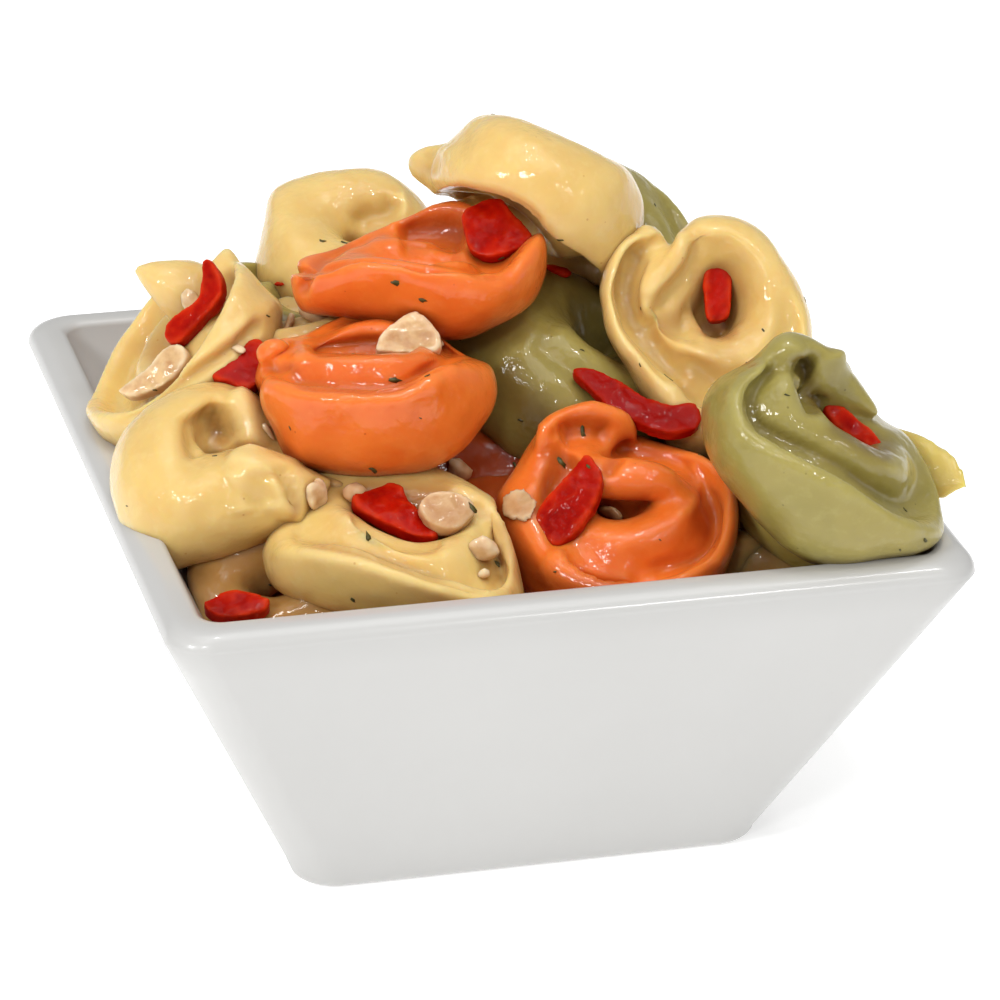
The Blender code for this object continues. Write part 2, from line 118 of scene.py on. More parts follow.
def stance(place: tuple, turn: float, tip: float, spin: float) -> Matrix:
    """Stands a piece in the part's frame: turned on its axis, leant over and swung round.

    Args:
        place: Where its origin goes.
        turn: Swing about Z, in degrees.
        tip: Lean away from Z, in degrees.
        spin: Turn about the piece's own axis, in degrees.

    Returns:
        The move from the piece's own frame.
    """
    def about_z(a: float) -> np.ndarray:
        """A turn about Z."""
        return np.array([(math.cos(a), -math.sin(a), 0), (math.sin(a), math.cos(a), 0), (0, 0, 1)])

    t, p, s = np.radians([turn, tip, spin])
    lean = np.array([(math.cos(p), 0, math.sin(p)), (0, 1, 0), (-math.sin(p), 0, math.cos(p))])
    turned = about_z(t) @ lean @ about_z(s)
    return Matrix.Translation(place) @ Matrix(turned.tolist()).to_4x4()


def catmull(a: np.ndarray, b: np.ndarray, c: np.ndarray, d: np.ndarray,
            t: np.ndarray) -> np.ndarray:
    """The smooth curve a share t of the way from b to c, where a and d lie beyond them."""
    return 0.5 * (2 * b + (c - a) * t + (2 * a - 5 * b + 4 * c - d) * t ** 2
                  + (3 * b - a - 3 * c + d) * t ** 3)


def open_curve(points: Sequence, where: np.ndarray) -> np.ndarray:
    """Catmull-Rom curve through a row of points.

    Args:
        points: The points it runs through.
        where: Places along it, from 0 to 1.

    Returns:
        One point for each place.
    """
    points = np.array(points, float)
    ends = np.vstack([2 * points[0] - points[1], points, 2 * points[-1] - points[-2]])
    u = np.clip(where, 0.0, 1.0) * (len(points) - 1.0)
    i = np.minimum(u.astype(int), len(points) - 2)
    t = (u - i)[:, None]
    return catmull(*(ends[i + k] for k in range(4)), t)


def closed_curve(points: np.ndarray, where: np.ndarray) -> np.ndarray:
    """Catmull-Rom curve round a closed row of points.

    Args:
        points: The points it runs through.
        where: Places round it, from 0 to 1.

    Returns:
        One point for each place.
    """
    u = (where % 1.0) * len(points)
    i = np.floor(u).astype(int) % len(points)
    t = (u - np.floor(u))[:, None]
    return catmull(*(points[(i + k) % len(points)] for k in (-1, 0, 1, 2)), t)


def read(rows: bpy.types.bpy_prop_collection, name: str, wide: int,
         kind: type = np.float64) -> np.ndarray:
    """Reads a value of every row of a mesh's table.

    Args:
        rows: The table.
        name: The value's name.
        wide: How many numbers it has.
        kind: What they are.

    Returns:
        One row for each.
    """
    out = np.empty(len(rows) * wide, dtype=kind)
    rows.foreach_get(name, out)
    return out.reshape(-1, wide)


def coordinates(mesh: bpy.types.Mesh) -> np.ndarray:
    """A mesh's points, in metres."""
    return read(mesh.vertices, "co", 3)


def set_coordinates(mesh: bpy.types.Mesh, points: np.ndarray) -> None:
    """Moves a mesh's points to the given places, in metres."""
    mesh.vertices.foreach_set("co", np.ascontiguousarray(points, dtype=np.float64).ravel())
    mesh.update()


def normals(mesh: bpy.types.Mesh) -> np.ndarray:
    """A mesh's point normals."""
    return read(mesh.vertex_normals, "vector", 3)


def set_attribute(mesh: bpy.types.Mesh, name: str, values: "np.ndarray | float") -> None:
    """Stores one number a point on a mesh.

    Args:
        mesh: The mesh.
        name: The attribute's name, which the finishes read.
        values: One number for each point, or one for them all.
    """
    attribute = mesh.attributes.get(name) or mesh.attributes.new(name, "FLOAT", "POINT")
    every = np.broadcast_to(values, len(mesh.vertices))
    attribute.data.foreach_set("value", np.ascontiguousarray(every, dtype=np.float32))


@dataclass(frozen=True)
class Sight:
    """The camera, which also carries places read off the photo into the part's frame."""
    place: tuple = (-162.5864, -593.1417, 327.1154)
    right: tuple = (0.96580844, -0.25818927, 0.02350243)
    up: tuple = (0.08860143, 0.41390252, 0.90599917)
    lens: float = 177.904
    sensor: float = 36.0
    width: float = 1000.0

    def axes(self) -> np.ndarray:
        """Right, up and away from the camera, as the rows of a matrix."""
        right, up = np.array(self.right), np.array(self.up)
        return np.array([right, up, np.cross(up, right)])

    def scale(self, distance: "float | np.ndarray") -> "float | np.ndarray":
        """Pixels in a millimetre at a distance from the camera."""
        return self.lens / self.sensor * self.width / distance

    def seen(self, points: np.ndarray) -> np.ndarray:
        """Where points show in the photo.

        Args:
            points: Points in millimetres.

        Returns:
            For each, its pixel across and down and its distance, in millimetres.
        """
        local = (points - np.array(self.place)) @ self.axes().T
        scale = self.scale(local[:, 2])
        half = 0.5 * self.width
        return np.stack([half + scale * local[:, 0], half - scale * local[:, 1], local[:, 2]], 1)

    def spot(self, across: float, down: float, distance: float) -> np.ndarray:
        """The place that shows at a pixel.

        Args:
            across: The pixel's distance from the left.
            down: Its distance from the top.
            distance: How far the place is from the camera, in millimetres.

        Returns:
            The place, in millimetres.
        """
        scale = distance * self.sensor / self.lens / self.width
        half = 0.5 * self.width
        local = np.array([(across - half) * scale, (half - down) * scale, distance])
        return np.array(self.place) + local @ self.axes()


SIGHT = Sight()


def neighbour_mean(mesh: bpy.types.Mesh, values: np.ndarray) -> np.ndarray:
    """The mean of each point's neighbours.

    Args:
        mesh: The mesh.
        values: One row for each point.

    Returns:
        One row for each point.
    """
    a, b = read(mesh.edges, "vertices", 2, np.int64).T
    size = len(values)
    count = np.maximum(np.bincount(a, minlength=size) + np.bincount(b, minlength=size), 1)
    rows = values.reshape(size, -1)
    total = np.stack([np.bincount(a, rows[b, k], size) + np.bincount(b, rows[a, k], size)
                      for k in range(rows.shape[1])], 1)
    return (total / count[:, None]).reshape(values.shape)


def blurred(mesh: bpy.types.Mesh, values: np.ndarray, share: float, rounds: int) -> np.ndarray:
    """Evens values out over a mesh.

    Args:
        mesh: The mesh.
        values: One row for each point.
        share: How far each goes towards its neighbours' mean, each round.
        rounds: How often.

    Returns:
        One row for each point.
    """
    for _ in range(rounds):
        values = (1.0 - share) * values + share * neighbour_mean(mesh, values)
    return values


@dataclass(frozen=True)
class Stroke:
    """A fold raised from the skin, or pressed into it, drawn over it as the photo shows it.

    Points are pixels across and down, and the width and depth are millimetres. It fades out
    over a share of its length at both ends.
    """
    path: tuple
    width: float
    depth: float
    fade: float = 0.15

    def shift(self, seen: np.ndarray, scale: float) -> np.ndarray:
        """How far each point moves outwards.

        Args:
            seen: Each point's pixel.
            scale: Pixels in a millimetre.

        Returns:
            Millimetres outwards, for each point.
        """
        count = STROKE_STEPS * len(self.path)
        line = open_curve(self.path, np.linspace(0.0, 1.0, count))
        gap = np.linalg.norm(seen[:, None, :2] - line[None], axis=2)
        near = gap.argmin(1)
        distance = gap[np.arange(len(seen)), near] / scale
        where = near / (count - 1.0)
        ends = ease(where, 0.0, self.fade) * ease(1.0 - where, 0.0, self.fade)
        ends = np.where((near == 0) | (near == count - 1), 0.0, ends)
        return self.depth * np.exp(-(distance / self.width) ** 2) * ends


def stained_and_shaded(mesh: bpy.types.Mesh, soak_and_shade: float, marks: tuple) -> np.ndarray:
    """Where the dressing has soaked in, and where shade is painted in the same dark colour, from 0
    to 1.

    Args:
        mesh: The mesh.
        soak_and_shade: How far the soaked colour is painted everywhere, for dressing and for
            painted shade.
        marks: Strokes along the hollows where the dressing gathers and over places that lie in
            shade.

    Returns:
        One number for each point.
    """
    seen = SIGHT.seen(coordinates(mesh) / MM)
    scale = SIGHT.scale(seen[:, 2].mean())
    stain_and_shade = np.full(len(seen), soak_and_shade)
    for mark in marks:
        stain_and_shade = np.maximum(stain_and_shade, mark.shift(seen, scale))
    return blurred(mesh, stain_and_shade, 0.5, 2)


def ridges(mesh: bpy.types.Mesh, sharp: float) -> np.ndarray:
    """Where the skin is bent sharply outwards, and so thin or cut and pale.

    Args:
        mesh: The mesh.
        sharp: How far a point stands proud of its neighbours where it is palest, in
            millimetres.

    Returns:
        One number for each point, from 0 to 1.
    """
    points, outward = coordinates(mesh) / MM, normals(mesh)
    bend = np.einsum("ij,ij->i", points - neighbour_mean(mesh, points), outward)
    return np.clip(blurred(mesh, bend, 0.5, 4) / sharp, 0.0, 1.0)


@dataclass(frozen=True)
class Grab:
    """A pull on the skin round one place: pixels across and down, and millimetres nearer."""
    at: tuple
    move: tuple
    radius: float

    def shift(self, points: np.ndarray, seen: np.ndarray, scale: float) -> np.ndarray:
        """How each point moves.

        Args:
            points: The points, in millimetres.
            seen: Each point's pixel and distance.
            scale: Pixels in a millimetre.

        Returns:
            One move for each point, in millimetres.
        """
        gap = np.linalg.norm(seen[:, :2] - np.array(self.at), axis=1) / scale
        cost = gap + DEPTH_COST * (seen[:, 2] - seen[:, 2].min())
        centre = points[cost.argmin()]
        away = np.linalg.norm(points - centre, axis=1)
        share = 1.0 - ease(away, 0.0, self.radius)
        axes = SIGHT.axes()
        across, down, nearer = self.move
        return share[:, None] * (axes[0] * across / scale - axes[1] * down / scale
                                 - axes[2] * nearer)


@dataclass(frozen=True)
class Soften:
    """A place where hard steps of the skin are eased: a pixel, a radius and how often."""
    at: tuple
    radius: float
    rounds: int = 40

    def eased(self, mesh: bpy.types.Mesh, points: np.ndarray, scale: float) -> np.ndarray:
        """The points with those near the place eased towards their neighbours.

        Args:
            mesh: The mesh, for its edges.
            points: The points, in millimetres.
            scale: Pixels in a millimetre.

        Returns:
            The eased points.
        """
        seen = SIGHT.seen(points)
        gap = np.linalg.norm(seen[:, :2] - np.array(self.at), axis=1) / scale
        near = gap < self.radius
        depth = seen[:, 2] - seen[near, 2].min()
        share = 1.0 - ease(gap, 0.5 * self.radius, self.radius)
        share = share * (1.0 - ease(depth, *EASE_DEPTHS))
        for _ in range(self.rounds):
            points = points + EASE_SHARE * share[:, None] * (neighbour_mean(mesh, points) - points)
        return points


def pinned(points: np.ndarray, pins: tuple) -> np.ndarray:
    """Stretches a shape across the view as a thin plate, so that marks on it come to rest.

    Args:
        points: Its points, in millimetres.
        pins: Pixels across and down of each mark, and of where the photo shows it.

    Returns:
        The moved points.
    """
    marks = np.array(pins, float)
    seen = SIGHT.seen(points)

    def plate(away: np.ndarray) -> np.ndarray:
        """How strongly a pin at each distance bends the plate."""
        return away ** 2 * np.log(np.maximum(away, 1e-6))

    count = len(marks)
    start = marks[:, :2] * PLATE_UNIT
    flat = np.hstack([np.ones((count, 1)), start])
    bend = plate(np.linalg.norm(start[:, None] - start[None], axis=2)) + PLATE_GIVE * np.eye(count)
    table = np.block([[bend, flat], [flat.T, np.zeros((3, 3))]])
    moves = np.vstack([marks[:, 2:] - marks[:, :2], np.zeros((3, 2))])
    weights = np.linalg.solve(table, moves)
    here = seen[:, :2] * PLATE_UNIT
    reach = plate(np.linalg.norm(here[:, None] - start[None], axis=2))
    move = reach @ weights[:count] + np.hstack([np.ones((len(here), 1)), here]) @ weights[count:]
    most = PLATE_REACH * np.linalg.norm(moves, axis=1).max()
    move *= np.minimum(1.0, most / np.maximum(np.linalg.norm(move, axis=1), 1e-6))[:, None]
    step = seen[:, 2:] * SIGHT.sensor / SIGHT.lens / SIGHT.width
    axes = SIGHT.axes()
    return points + step * (move[:, :1] * axes[0] - move[:, 1:] * axes[1])


def linked(name: str, data: bpy.types.ID) -> Piece:
    """A new object in the scene, for a mesh, a lamp or a camera.

    Args:
        name: The object's name.
        data: What it shows.

    Returns:
        The object.
    """
    thing = bpy.data.objects.new(name, data)
    bpy.context.scene.collection.objects.link(thing)
    return thing


def make_piece(name: str, build: Callable[[bmesh.types.BMesh], None]) -> Piece:
    """A mesh object whose faces look outwards.

    Args:
        name: The piece's name.
        build: Fills a bmesh, in millimetres.

    Returns:
        The object, in metres at the origin.
    """
    bm = bmesh.new()
    build(bm)
    bmesh.ops.scale(bm, vec=(MM, MM, MM), verts=bm.verts)
    bmesh.ops.recalc_face_normals(bm, faces=bm.faces)
    if bm.calc_volume(signed=True) < 0.0:
        bmesh.ops.reverse_faces(bm, faces=bm.faces)
    mesh = bpy.data.meshes.new(name)
    bm.to_mesh(mesh)
    bm.free()
    mesh.shade_smooth()
    return linked(name, mesh)


def applied(piece: Piece) -> None:
    """Applies a piece's modifiers to its mesh.

    Args:
        piece: The piece.
    """
    graph = bpy.context.evaluated_depsgraph_get()
    mesh = bpy.data.meshes.new_from_object(piece.evaluated_get(graph))
    old = piece.data
    piece.modifiers.clear()
    piece.data = mesh
    bpy.data.meshes.remove(old)
    mesh.name = piece.name
    mesh.shade_smooth()


def fuse(piece: Piece, voxel: float, rounds: int) -> None:
    """Melts the overlapping shells of a piece into one skin and softens it.

    Args:
        piece: The piece.
        voxel: Size of the new faces, in millimetres.
        rounds: How often its points are eased towards their neighbours.
    """
    melt = piece.modifiers.new("melt", "REMESH")
    melt.mode = "VOXEL"
    melt.voxel_size = voxel * MM
    melt.adaptivity = 0.0
    applied(piece)
    bm = bmesh.new()
    bm.from_mesh(piece.data)
    for _ in range(rounds):
        bmesh.ops.smooth_vert(bm, verts=bm.verts, factor=0.5, use_axis_x=True,
                              use_axis_y=True, use_axis_z=True)
    bm.to_mesh(piece.data)
    bm.free()
    piece.data.shade_smooth()


def ripple(piece: Piece, waves: Sequence[tuple[float, float]], seed: int) -> None:
    """Moves the points in and out by seeded noise.

    Args:
        piece: The piece.
        waves: Wavelength and height of each layer of noise, in millimetres.
        seed: Shifts the noise, so that no two pieces are alike.
    """
    points, outward = coordinates(piece.data), normals(piece.data)
    shift = Vector([seed * apart for apart in RIPPLES_APART])
    heights = np.zeros(len(points))
    for length, height in waves:
        rate = 1.0 / (length * MM)
        heights += height * np.array([noise.noise(Vector(p) * rate + shift) for p in points])
    set_coordinates(piece.data, points + outward * (heights * MM)[:, None])


def skin_tree(pieces: Sequence[Piece], unit: float) -> BVHTree:
    """A tree of the faces of several pieces, for rays.

    Args:
        pieces: The pieces.
        unit: What the tree measures in, in metres.

    Returns:
        The tree.
    """
    points, faces, start = [], [], 0
    for piece in pieces:
        mesh = piece.data
        mesh.calc_loop_triangles()
        points.append(coordinates(mesh) / unit)
        faces.append(read(mesh.loop_triangles, "vertices", 3, np.int64) + start)
        start += len(mesh.vertices)
    return BVHTree.FromPolygons(np.vstack(points).tolist(), np.vstack(faces).tolist())


def laid(spot: Vector, normal: Vector, turn: float) -> Matrix:
    """Lays a small thing on a skin.

    Args:
        spot: Where its origin goes.
        normal: Which way the skin faces there.
        turn: Which way it points, in radians from the right of the view.

    Returns:
        The move from its own frame.
    """
    right = Vector(SIGHT.right)
    side = (right - normal * right.dot(normal)).normalized()
    stand = Matrix((side, normal.cross(side), normal)).transposed().to_4x4()
    return Matrix.Translation(spot) @ stand @ Matrix.Rotation(turn, 4, "Z")


class Graph:
    """Builds one material's nodes round its Principled shader."""

    def __init__(self, name: str) -> None:
        """Starts a material of that name.

        Args:
            name: The material's name.
        """
        self.material = bpy.data.materials.new(name)
        self.material.use_nodes = True
        self.tree = self.material.node_tree
        self.shader = self.tree.nodes["Principled BSDF"]
        self.place = self.add("ShaderNodeTexCoord").outputs["Object"]

    def add(self, kind: str, **settings: object) -> bpy.types.Node:
        """A new node with the given properties set.

        Args:
            kind: The node's type.
            settings: Its properties.

        Returns:
            The node.
        """
        node = self.tree.nodes.new(kind)
        for key, value in settings.items():
            setattr(node, key, value)
        return node

    def join(self, source: Socket, target: Socket) -> None:
        """Links two sockets."""
        self.tree.links.new(source, target)

    def attribute(self, name: str) -> Socket:
        """The value of a point attribute."""
        return self.add("ShaderNodeAttribute", attribute_name=name).outputs["Fac"]

    def noise(self, size: float, detail: float = 2.0, rough: float = 0.5,
              shift: float = 0.0) -> Socket:
        """Cloudy noise on the object's own coordinates.

        Args:
            size: Size of its clouds, in millimetres.
            detail: Octaves.
            rough: How much the finer octaves count.
            shift: Moves the pattern along, so that two layers differ.

        Returns:
            The noise's value.
        """
        mapping = self.add("ShaderNodeMapping")
        mapping.inputs["Location"].default_value = (shift, shift * 0.7, shift * 0.4)
        self.join(self.place, mapping.inputs["Vector"])
        cloud = self.add("ShaderNodeTexNoise")
        cloud.inputs["Scale"].default_value = 1.0 / (size * MM)
        cloud.inputs["Detail"].default_value = detail
        cloud.inputs["Roughness"].default_value = rough
        self.join(mapping.outputs["Vector"], cloud.inputs["Vector"])
        return cloud.outputs["Fac"]

    def spots(self, size: float, reach: float, soft: float, share: float) -> Socket:
        """Scattered round specks.

        Args:
            size: Distance between the cells that may hold a speck, in millimetres.
            reach: Radius of a speck as a share of that distance.
            soft: Width of its edge, as a share of that distance.
            share: Share of the cells that hold one.

        Returns:
            1 in a speck and 0 elsewhere.
        """
        cells = self.add("ShaderNodeTexVoronoi")
        cells.inputs["Scale"].default_value = 1.0 / (size * MM)
        self.join(self.place, cells.inputs["Vector"])
        spot = self.ramp(cells.outputs["Distance"], reach + soft, reach)
        split = self.add("ShaderNodeSeparateColor")
        self.join(cells.outputs["Color"], split.inputs["Color"])
        picked = self.ramp(split.outputs["Red"], share + 0.01, share)
        return self.math("MULTIPLY", spot, picked)

    def ramp(self, source: Socket, low: float, high: float, start: float = 0.0,
             end: float = 1.0) -> Socket:
        """A value mapped from one range to another, held at both ends.

        Args:
            source: The value.
            low: Where the range starts.
            high: Where it ends, which may be lower.
            start: The result at low.
            end: The result at high.

        Returns:
            The mapped value.
        """
        node = self.add("ShaderNodeMapRange", clamp=True)
        for key, value in (("From Min", low), ("From Max", high), ("To Min", start),
                           ("To Max", end)):
            node.inputs[key].default_value = value
        self.join(source, node.inputs["Value"])
        return node.outputs["Result"]

    def math(self, operation: str, first: Socket, second: "Socket | float") -> Socket:
        """Two values put together.

        Args:
            operation: The math node's operation.
            first: A socket.
            second: A socket or a number.

        Returns:
            The result, held between 0 and 1.
        """
        node = self.add("ShaderNodeMath", operation=operation, use_clamp=True)
        self.join(first, node.inputs[0])
        if isinstance(second, (int, float)):
            node.inputs[1].default_value = second
        else:
            self.join(second, node.inputs[1])
        return node.outputs["Value"]

    def blend(self, share: Socket, first: "Socket | tuple", second: "Socket | tuple") -> Socket:
        """Two colours mixed.

        Args:
            share: How much of the second shows.
            first: A socket or a colour.
            second: A socket or a colour.

        Returns:
            The mixed colour.
        """
        node = self.add("ShaderNodeMix", data_type="RGBA")
        self.join(share, node.inputs[0])
        for source, target in ((first, node.inputs[6]), (second, node.inputs[7])):
            if isinstance(source, tuple):
                target.default_value = (*source, 1.0)
            else:
                self.join(source, target)
        return node.outputs[2]

    def bump(self, height: Socket, depth: float, strength: float,
             base: "Socket | None" = None) -> Socket:
        """Relief on the surface's normal.

        Args:
            height: The relief, from 0 to 1.
            depth: How deep it is, in millimetres.
            strength: How strongly it shows.
            base: Another relief that this one lies on.

        Returns:
            The new normal.
        """
        node = self.add("ShaderNodeBump")
        node.inputs["Strength"].default_value = strength
        node.inputs["Distance"].default_value = depth * MM
        self.join(height, node.inputs["Height"])
        if base is not None:
            self.join(base, node.inputs["Normal"])
        return node.outputs["Normal"]

    def set(self, **values: object) -> None:
        """Sets the shader's own sockets, whose names are given with _ for each space."""
        for key, value in values.items():
            self.shader.inputs[key.replace("_", " ")].default_value = value

    def paint(self, colour: Socket, roughness: Socket, normal: Socket,
              film: "Socket | None" = None) -> bpy.types.Material:
        """Ends the material.

        Args:
            colour: Its base colour.
            roughness: Its roughness.
            normal: Its normal.
            film: The normal of the wet film on it, where that differs.

        Returns:
            The material.
        """
        if film is not None:
            self.join(film, self.shader.inputs["Coat Normal"])
        self.join(colour, self.shader.inputs["Base Color"])
        self.join(roughness, self.shader.inputs["Roughness"])
        self.join(normal, self.shader.inputs["Normal"])
        return self.material


@dataclass(frozen=True)
class PastaFinish:
    """Cooked dough under oily dressing: dull clouds, specks, stain and painted shade in creases.
    """
    name: str
    dough: tuple
    deep: tuple
    pale: tuple
    soaked_and_shaded: tuple
    speck: tuple
    bleed: tuple

    def material(self) -> bpy.types.Material:
        """Builds the material.

        Returns:
            The material.
        """
        g = Graph(self.name)
        damp_and_shade, tone, thin = (g.attribute(n) for n in ("damp_and_shade", "tone", "thin"))
        clouds = g.noise(7.0, 3.0, 0.55)
        mottle = g.noise(1.6, 3.0, 0.6, 3.0)
        base = g.blend(g.ramp(clouds, 0.35, 0.68), self.dough, self.deep)
        base = g.blend(g.ramp(tone, 0.0, 1.0), base, self.pale)
        base = g.blend(g.math("MULTIPLY", g.ramp(mottle, 0.52, 0.75), 0.35), base, self.pale)
        base = g.blend(g.math("MULTIPLY", thin, 0.6), base, self.pale)
        # Painted shade and dressing stain: closed-in places (damp_and_shade) and the marked
        # strokes take the soaked colour.
        stain_and_shade = g.math("MULTIPLY", g.ramp(damp_and_shade, 0.35, 0.95), g.ramp(mottle, 0.2, 0.7, 0.75, 1.0))
        stain_and_shade = g.math("MAXIMUM", stain_and_shade, g.attribute("stain_and_shade"))
        base = g.blend(stain_and_shade, base, self.soaked_and_shaded)
        specks = g.math("MULTIPLY", g.spots(2.6, 0.05, 0.03, 0.3), 0.55)
        base = g.blend(specks, base, self.speck)
        rough = g.ramp(g.noise(2.2, 3.0, 0.6, 7.0), 0.3, 0.7, 0.34, 0.5)
        wet = g.ramp(g.noise(8.0, 2.0, 0.5, 17.0), 0.42, 0.62, 0.25, 1.0)
        normal = g.bump(g.noise(3.4, 2.0, 0.5, 23.0), 0.6, 0.3)
        film = g.bump(g.noise(2.6, 1.0, 0.5, 29.0), 0.5, 0.4, normal)
        film = g.bump(g.math("MULTIPLY", g.noise(1.2, 2.0, 0.6, 11.0), wet), 0.45, 0.6, film)
        g.set(Subsurface_Weight=0.6, Subsurface_Radius=self.bleed, Subsurface_Scale=0.003,
              Specular_IOR_Level=0.1, Coat_Weight=0.7, Coat_Roughness=0.045, Coat_IOR=1.5)
        return g.paint(base, rough, normal, film)


@dataclass(frozen=True)
class VegetableFinish:
    """Wet raw vegetable with paler flesh where it was cut."""
    name: str
    skin: tuple
    dark: tuple
    flesh: tuple
    bleed: tuple
    wet: float

    def material(self) -> bpy.types.Material:
        """Builds the material.

        Returns:
            The material.
        """
        g = Graph(self.name)
        damp_and_shade, cut = g.attribute("damp_and_shade"), g.attribute("thin")
        clouds = g.noise(3.0, 3.0, 0.6)
        base = g.blend(g.ramp(clouds, 0.35, 0.7), self.skin, self.dark)
        base = g.blend(g.math("MULTIPLY", cut, 0.7), base, self.flesh)
        # Closed-in places (damp_and_shade) take the dark colour as painted shade and dressing
        # stain; the marked strokes paint shade on the pepper and dressing on the onions.
        base = g.blend(g.ramp(damp_and_shade, 0.35, 0.95), base, self.dark)
        base = g.blend(g.attribute("stain_and_shade"), base, self.dark)
        rough = g.ramp(g.noise(1.5, 2.0, 0.5, 4.0), 0.3, 0.7, 0.4, 0.55)
        normal = g.bump(g.noise(1.0, 2.0, 0.6, 9.0), 0.2, 0.3)
        film = g.bump(g.noise(1.3, 1.0, 0.5, 13.0), 0.35, 0.7, normal)
        g.set(Subsurface_Weight=0.6, Subsurface_Radius=self.bleed, Subsurface_Scale=0.002,
              Specular_IOR_Level=0.02, Coat_Weight=self.wet, Coat_Roughness=0.05, Coat_IOR=1.35)
        return g.paint(base, rough, normal, film)


@dataclass(frozen=True)
class PorcelainFinish:
    """White glaze with the faint unevenness of a fired dish."""
    name: str
    glaze: tuple
    shade: tuple
    pit: tuple

    def material(self) -> bpy.types.Material:
        """Builds the material.

        Returns:
            The material.
        """
        g = Graph(self.name)
        base = g.blend(g.ramp(g.noise(28.0, 3.0, 0.5), 0.35, 0.7), self.glaze, self.shade)
        pits = g.math("MULTIPLY", g.spots(9.0, 0.022, 0.012, 0.12), 0.35)
        base = g.blend(pits, base, self.pit)
        rough = g.ramp(g.noise(14.0, 2.0, 0.5, 2.0), 0.3, 0.7, 0.32, 0.42)
        normal = g.bump(g.noise(22.0, 2.0, 0.45, 6.0), 0.3, 0.05)
        g.set(Specular_IOR_Level=0.4, Coat_Weight=0.5, Coat_Roughness=0.12)
        return g.paint(base, rough, normal)


@dataclass(frozen=True)
class LeafFinish:
    """Dried green herb, dark and a little glossy from the oil."""
    name: str
    leaf: tuple
    dark: tuple

    def material(self) -> bpy.types.Material:
        """Builds the material.

        Returns:
            The material.
        """
        g = Graph(self.name)
        base = g.blend(g.ramp(g.noise(1.2, 3.0, 0.6), 0.35, 0.65), self.leaf, self.dark)
        rough = g.ramp(g.noise(0.8, 2.0, 0.5, 2.0), 0.3, 0.7, 0.35, 0.6)
        normal = g.bump(g.noise(0.5, 2.0, 0.5, 6.0), 0.1, 0.5)
        g.set(Specular_IOR_Level=0.4)
        return g.paint(base, rough, normal)


@dataclass(frozen=True)
class FloorFinish:
    """Matt white tabletop, with a little light of its own to keep it white."""
    name: str
    colour: tuple
    shade: float = 0.985
    glow: float = 0.42

    def material(self) -> bpy.types.Material:
        """Builds the material.

        Returns:
            The material.
        """
        g = Graph(self.name)
        base = g.blend(g.ramp(g.noise(400.0, 2.0, 0.5), 0.3, 0.7), self.colour,
                       tuple(self.shade * c for c in self.colour))
        rough = g.ramp(g.noise(300.0, 2.0, 0.5, 2.0), 0.3, 0.7, 0.85, 0.95)
        normal = g.bump(g.noise(5.0, 2.0, 0.5), 0.1, 0.05)
        g.set(Specular_IOR_Level=0.1, Emission_Color=(1.0, 1.0, 1.0, 1.0),
              Emission_Strength=self.glow)
        return g.paint(base, rough, normal)


class Dough(Enum):
    """The three doughs, each with its finish."""
    EGG = PastaFinish("egg_dough", (0.755, 0.525, 0.165), (0.70, 0.44, 0.12), (0.80, 0.61, 0.27),
                      (0.33, 0.125, 0.03), (0.50, 0.22, 0.05), (1.0, 0.55, 0.2))
    TOMATO = PastaFinish("tomato_dough", (0.80, 0.165, 0.016), (0.72, 0.125, 0.009),
                         (0.86, 0.235, 0.045), (0.26, 0.033, 0.006), (0.45, 0.06, 0.01),
                         (1.0, 0.35, 0.1))
    OLIVE = PastaFinish("olive_dough", (0.55, 0.42, 0.09), (0.47, 0.35, 0.07), (0.62, 0.50, 0.16),
                        (0.26, 0.15, 0.03), (0.25, 0.16, 0.03), (1.0, 0.7, 0.2))
    SPINACH = PastaFinish("spinach_dough", (0.31, 0.245, 0.055), (0.245, 0.20, 0.042),
                          (0.42, 0.36, 0.12), (0.15, 0.095, 0.02), (0.12, 0.09, 0.02),
                          (0.6, 0.6, 0.2))


PEPPER = VegetableFinish("red_pepper_flesh", (0.45, 0.007, 0.001), (0.27, 0.002, 0.0005),
                         (0.62, 0.045, 0.008), (1.0, 0.1, 0.02), 0.25)
ONION = VegetableFinish("onion_flesh", (0.74, 0.52, 0.27), (0.48, 0.24, 0.10),
                        (0.84, 0.68, 0.46), (1.0, 0.7, 0.4), 1.0)
GLAZE = PorcelainFinish("porcelain_glaze", (0.545, 0.54, 0.525), (0.53, 0.525, 0.51),
                        (0.45, 0.43, 0.40))
HERB = LeafFinish("dried_herb", (0.10, 0.085, 0.015), (0.035, 0.035, 0.008))
TABLE = FloorFinish("white_table", (0.9, 0.9, 0.9))


def dress(piece: Piece, material: bpy.types.Material,
          nodes: Sequence[str]) -> None:
    """Gives a finished piece its material and its place in the frame.

    Args:
        piece: The piece.
        material: What it is made of.
        nodes: The solids that it stands for.
    """
    piece.data.materials.clear()
    piece.data.materials.append(material)
    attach(piece, ROOT)
    if nodes:
        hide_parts(*nodes)
    LOG.info("%s: %d faces", piece.name, len(piece.data.polygons))


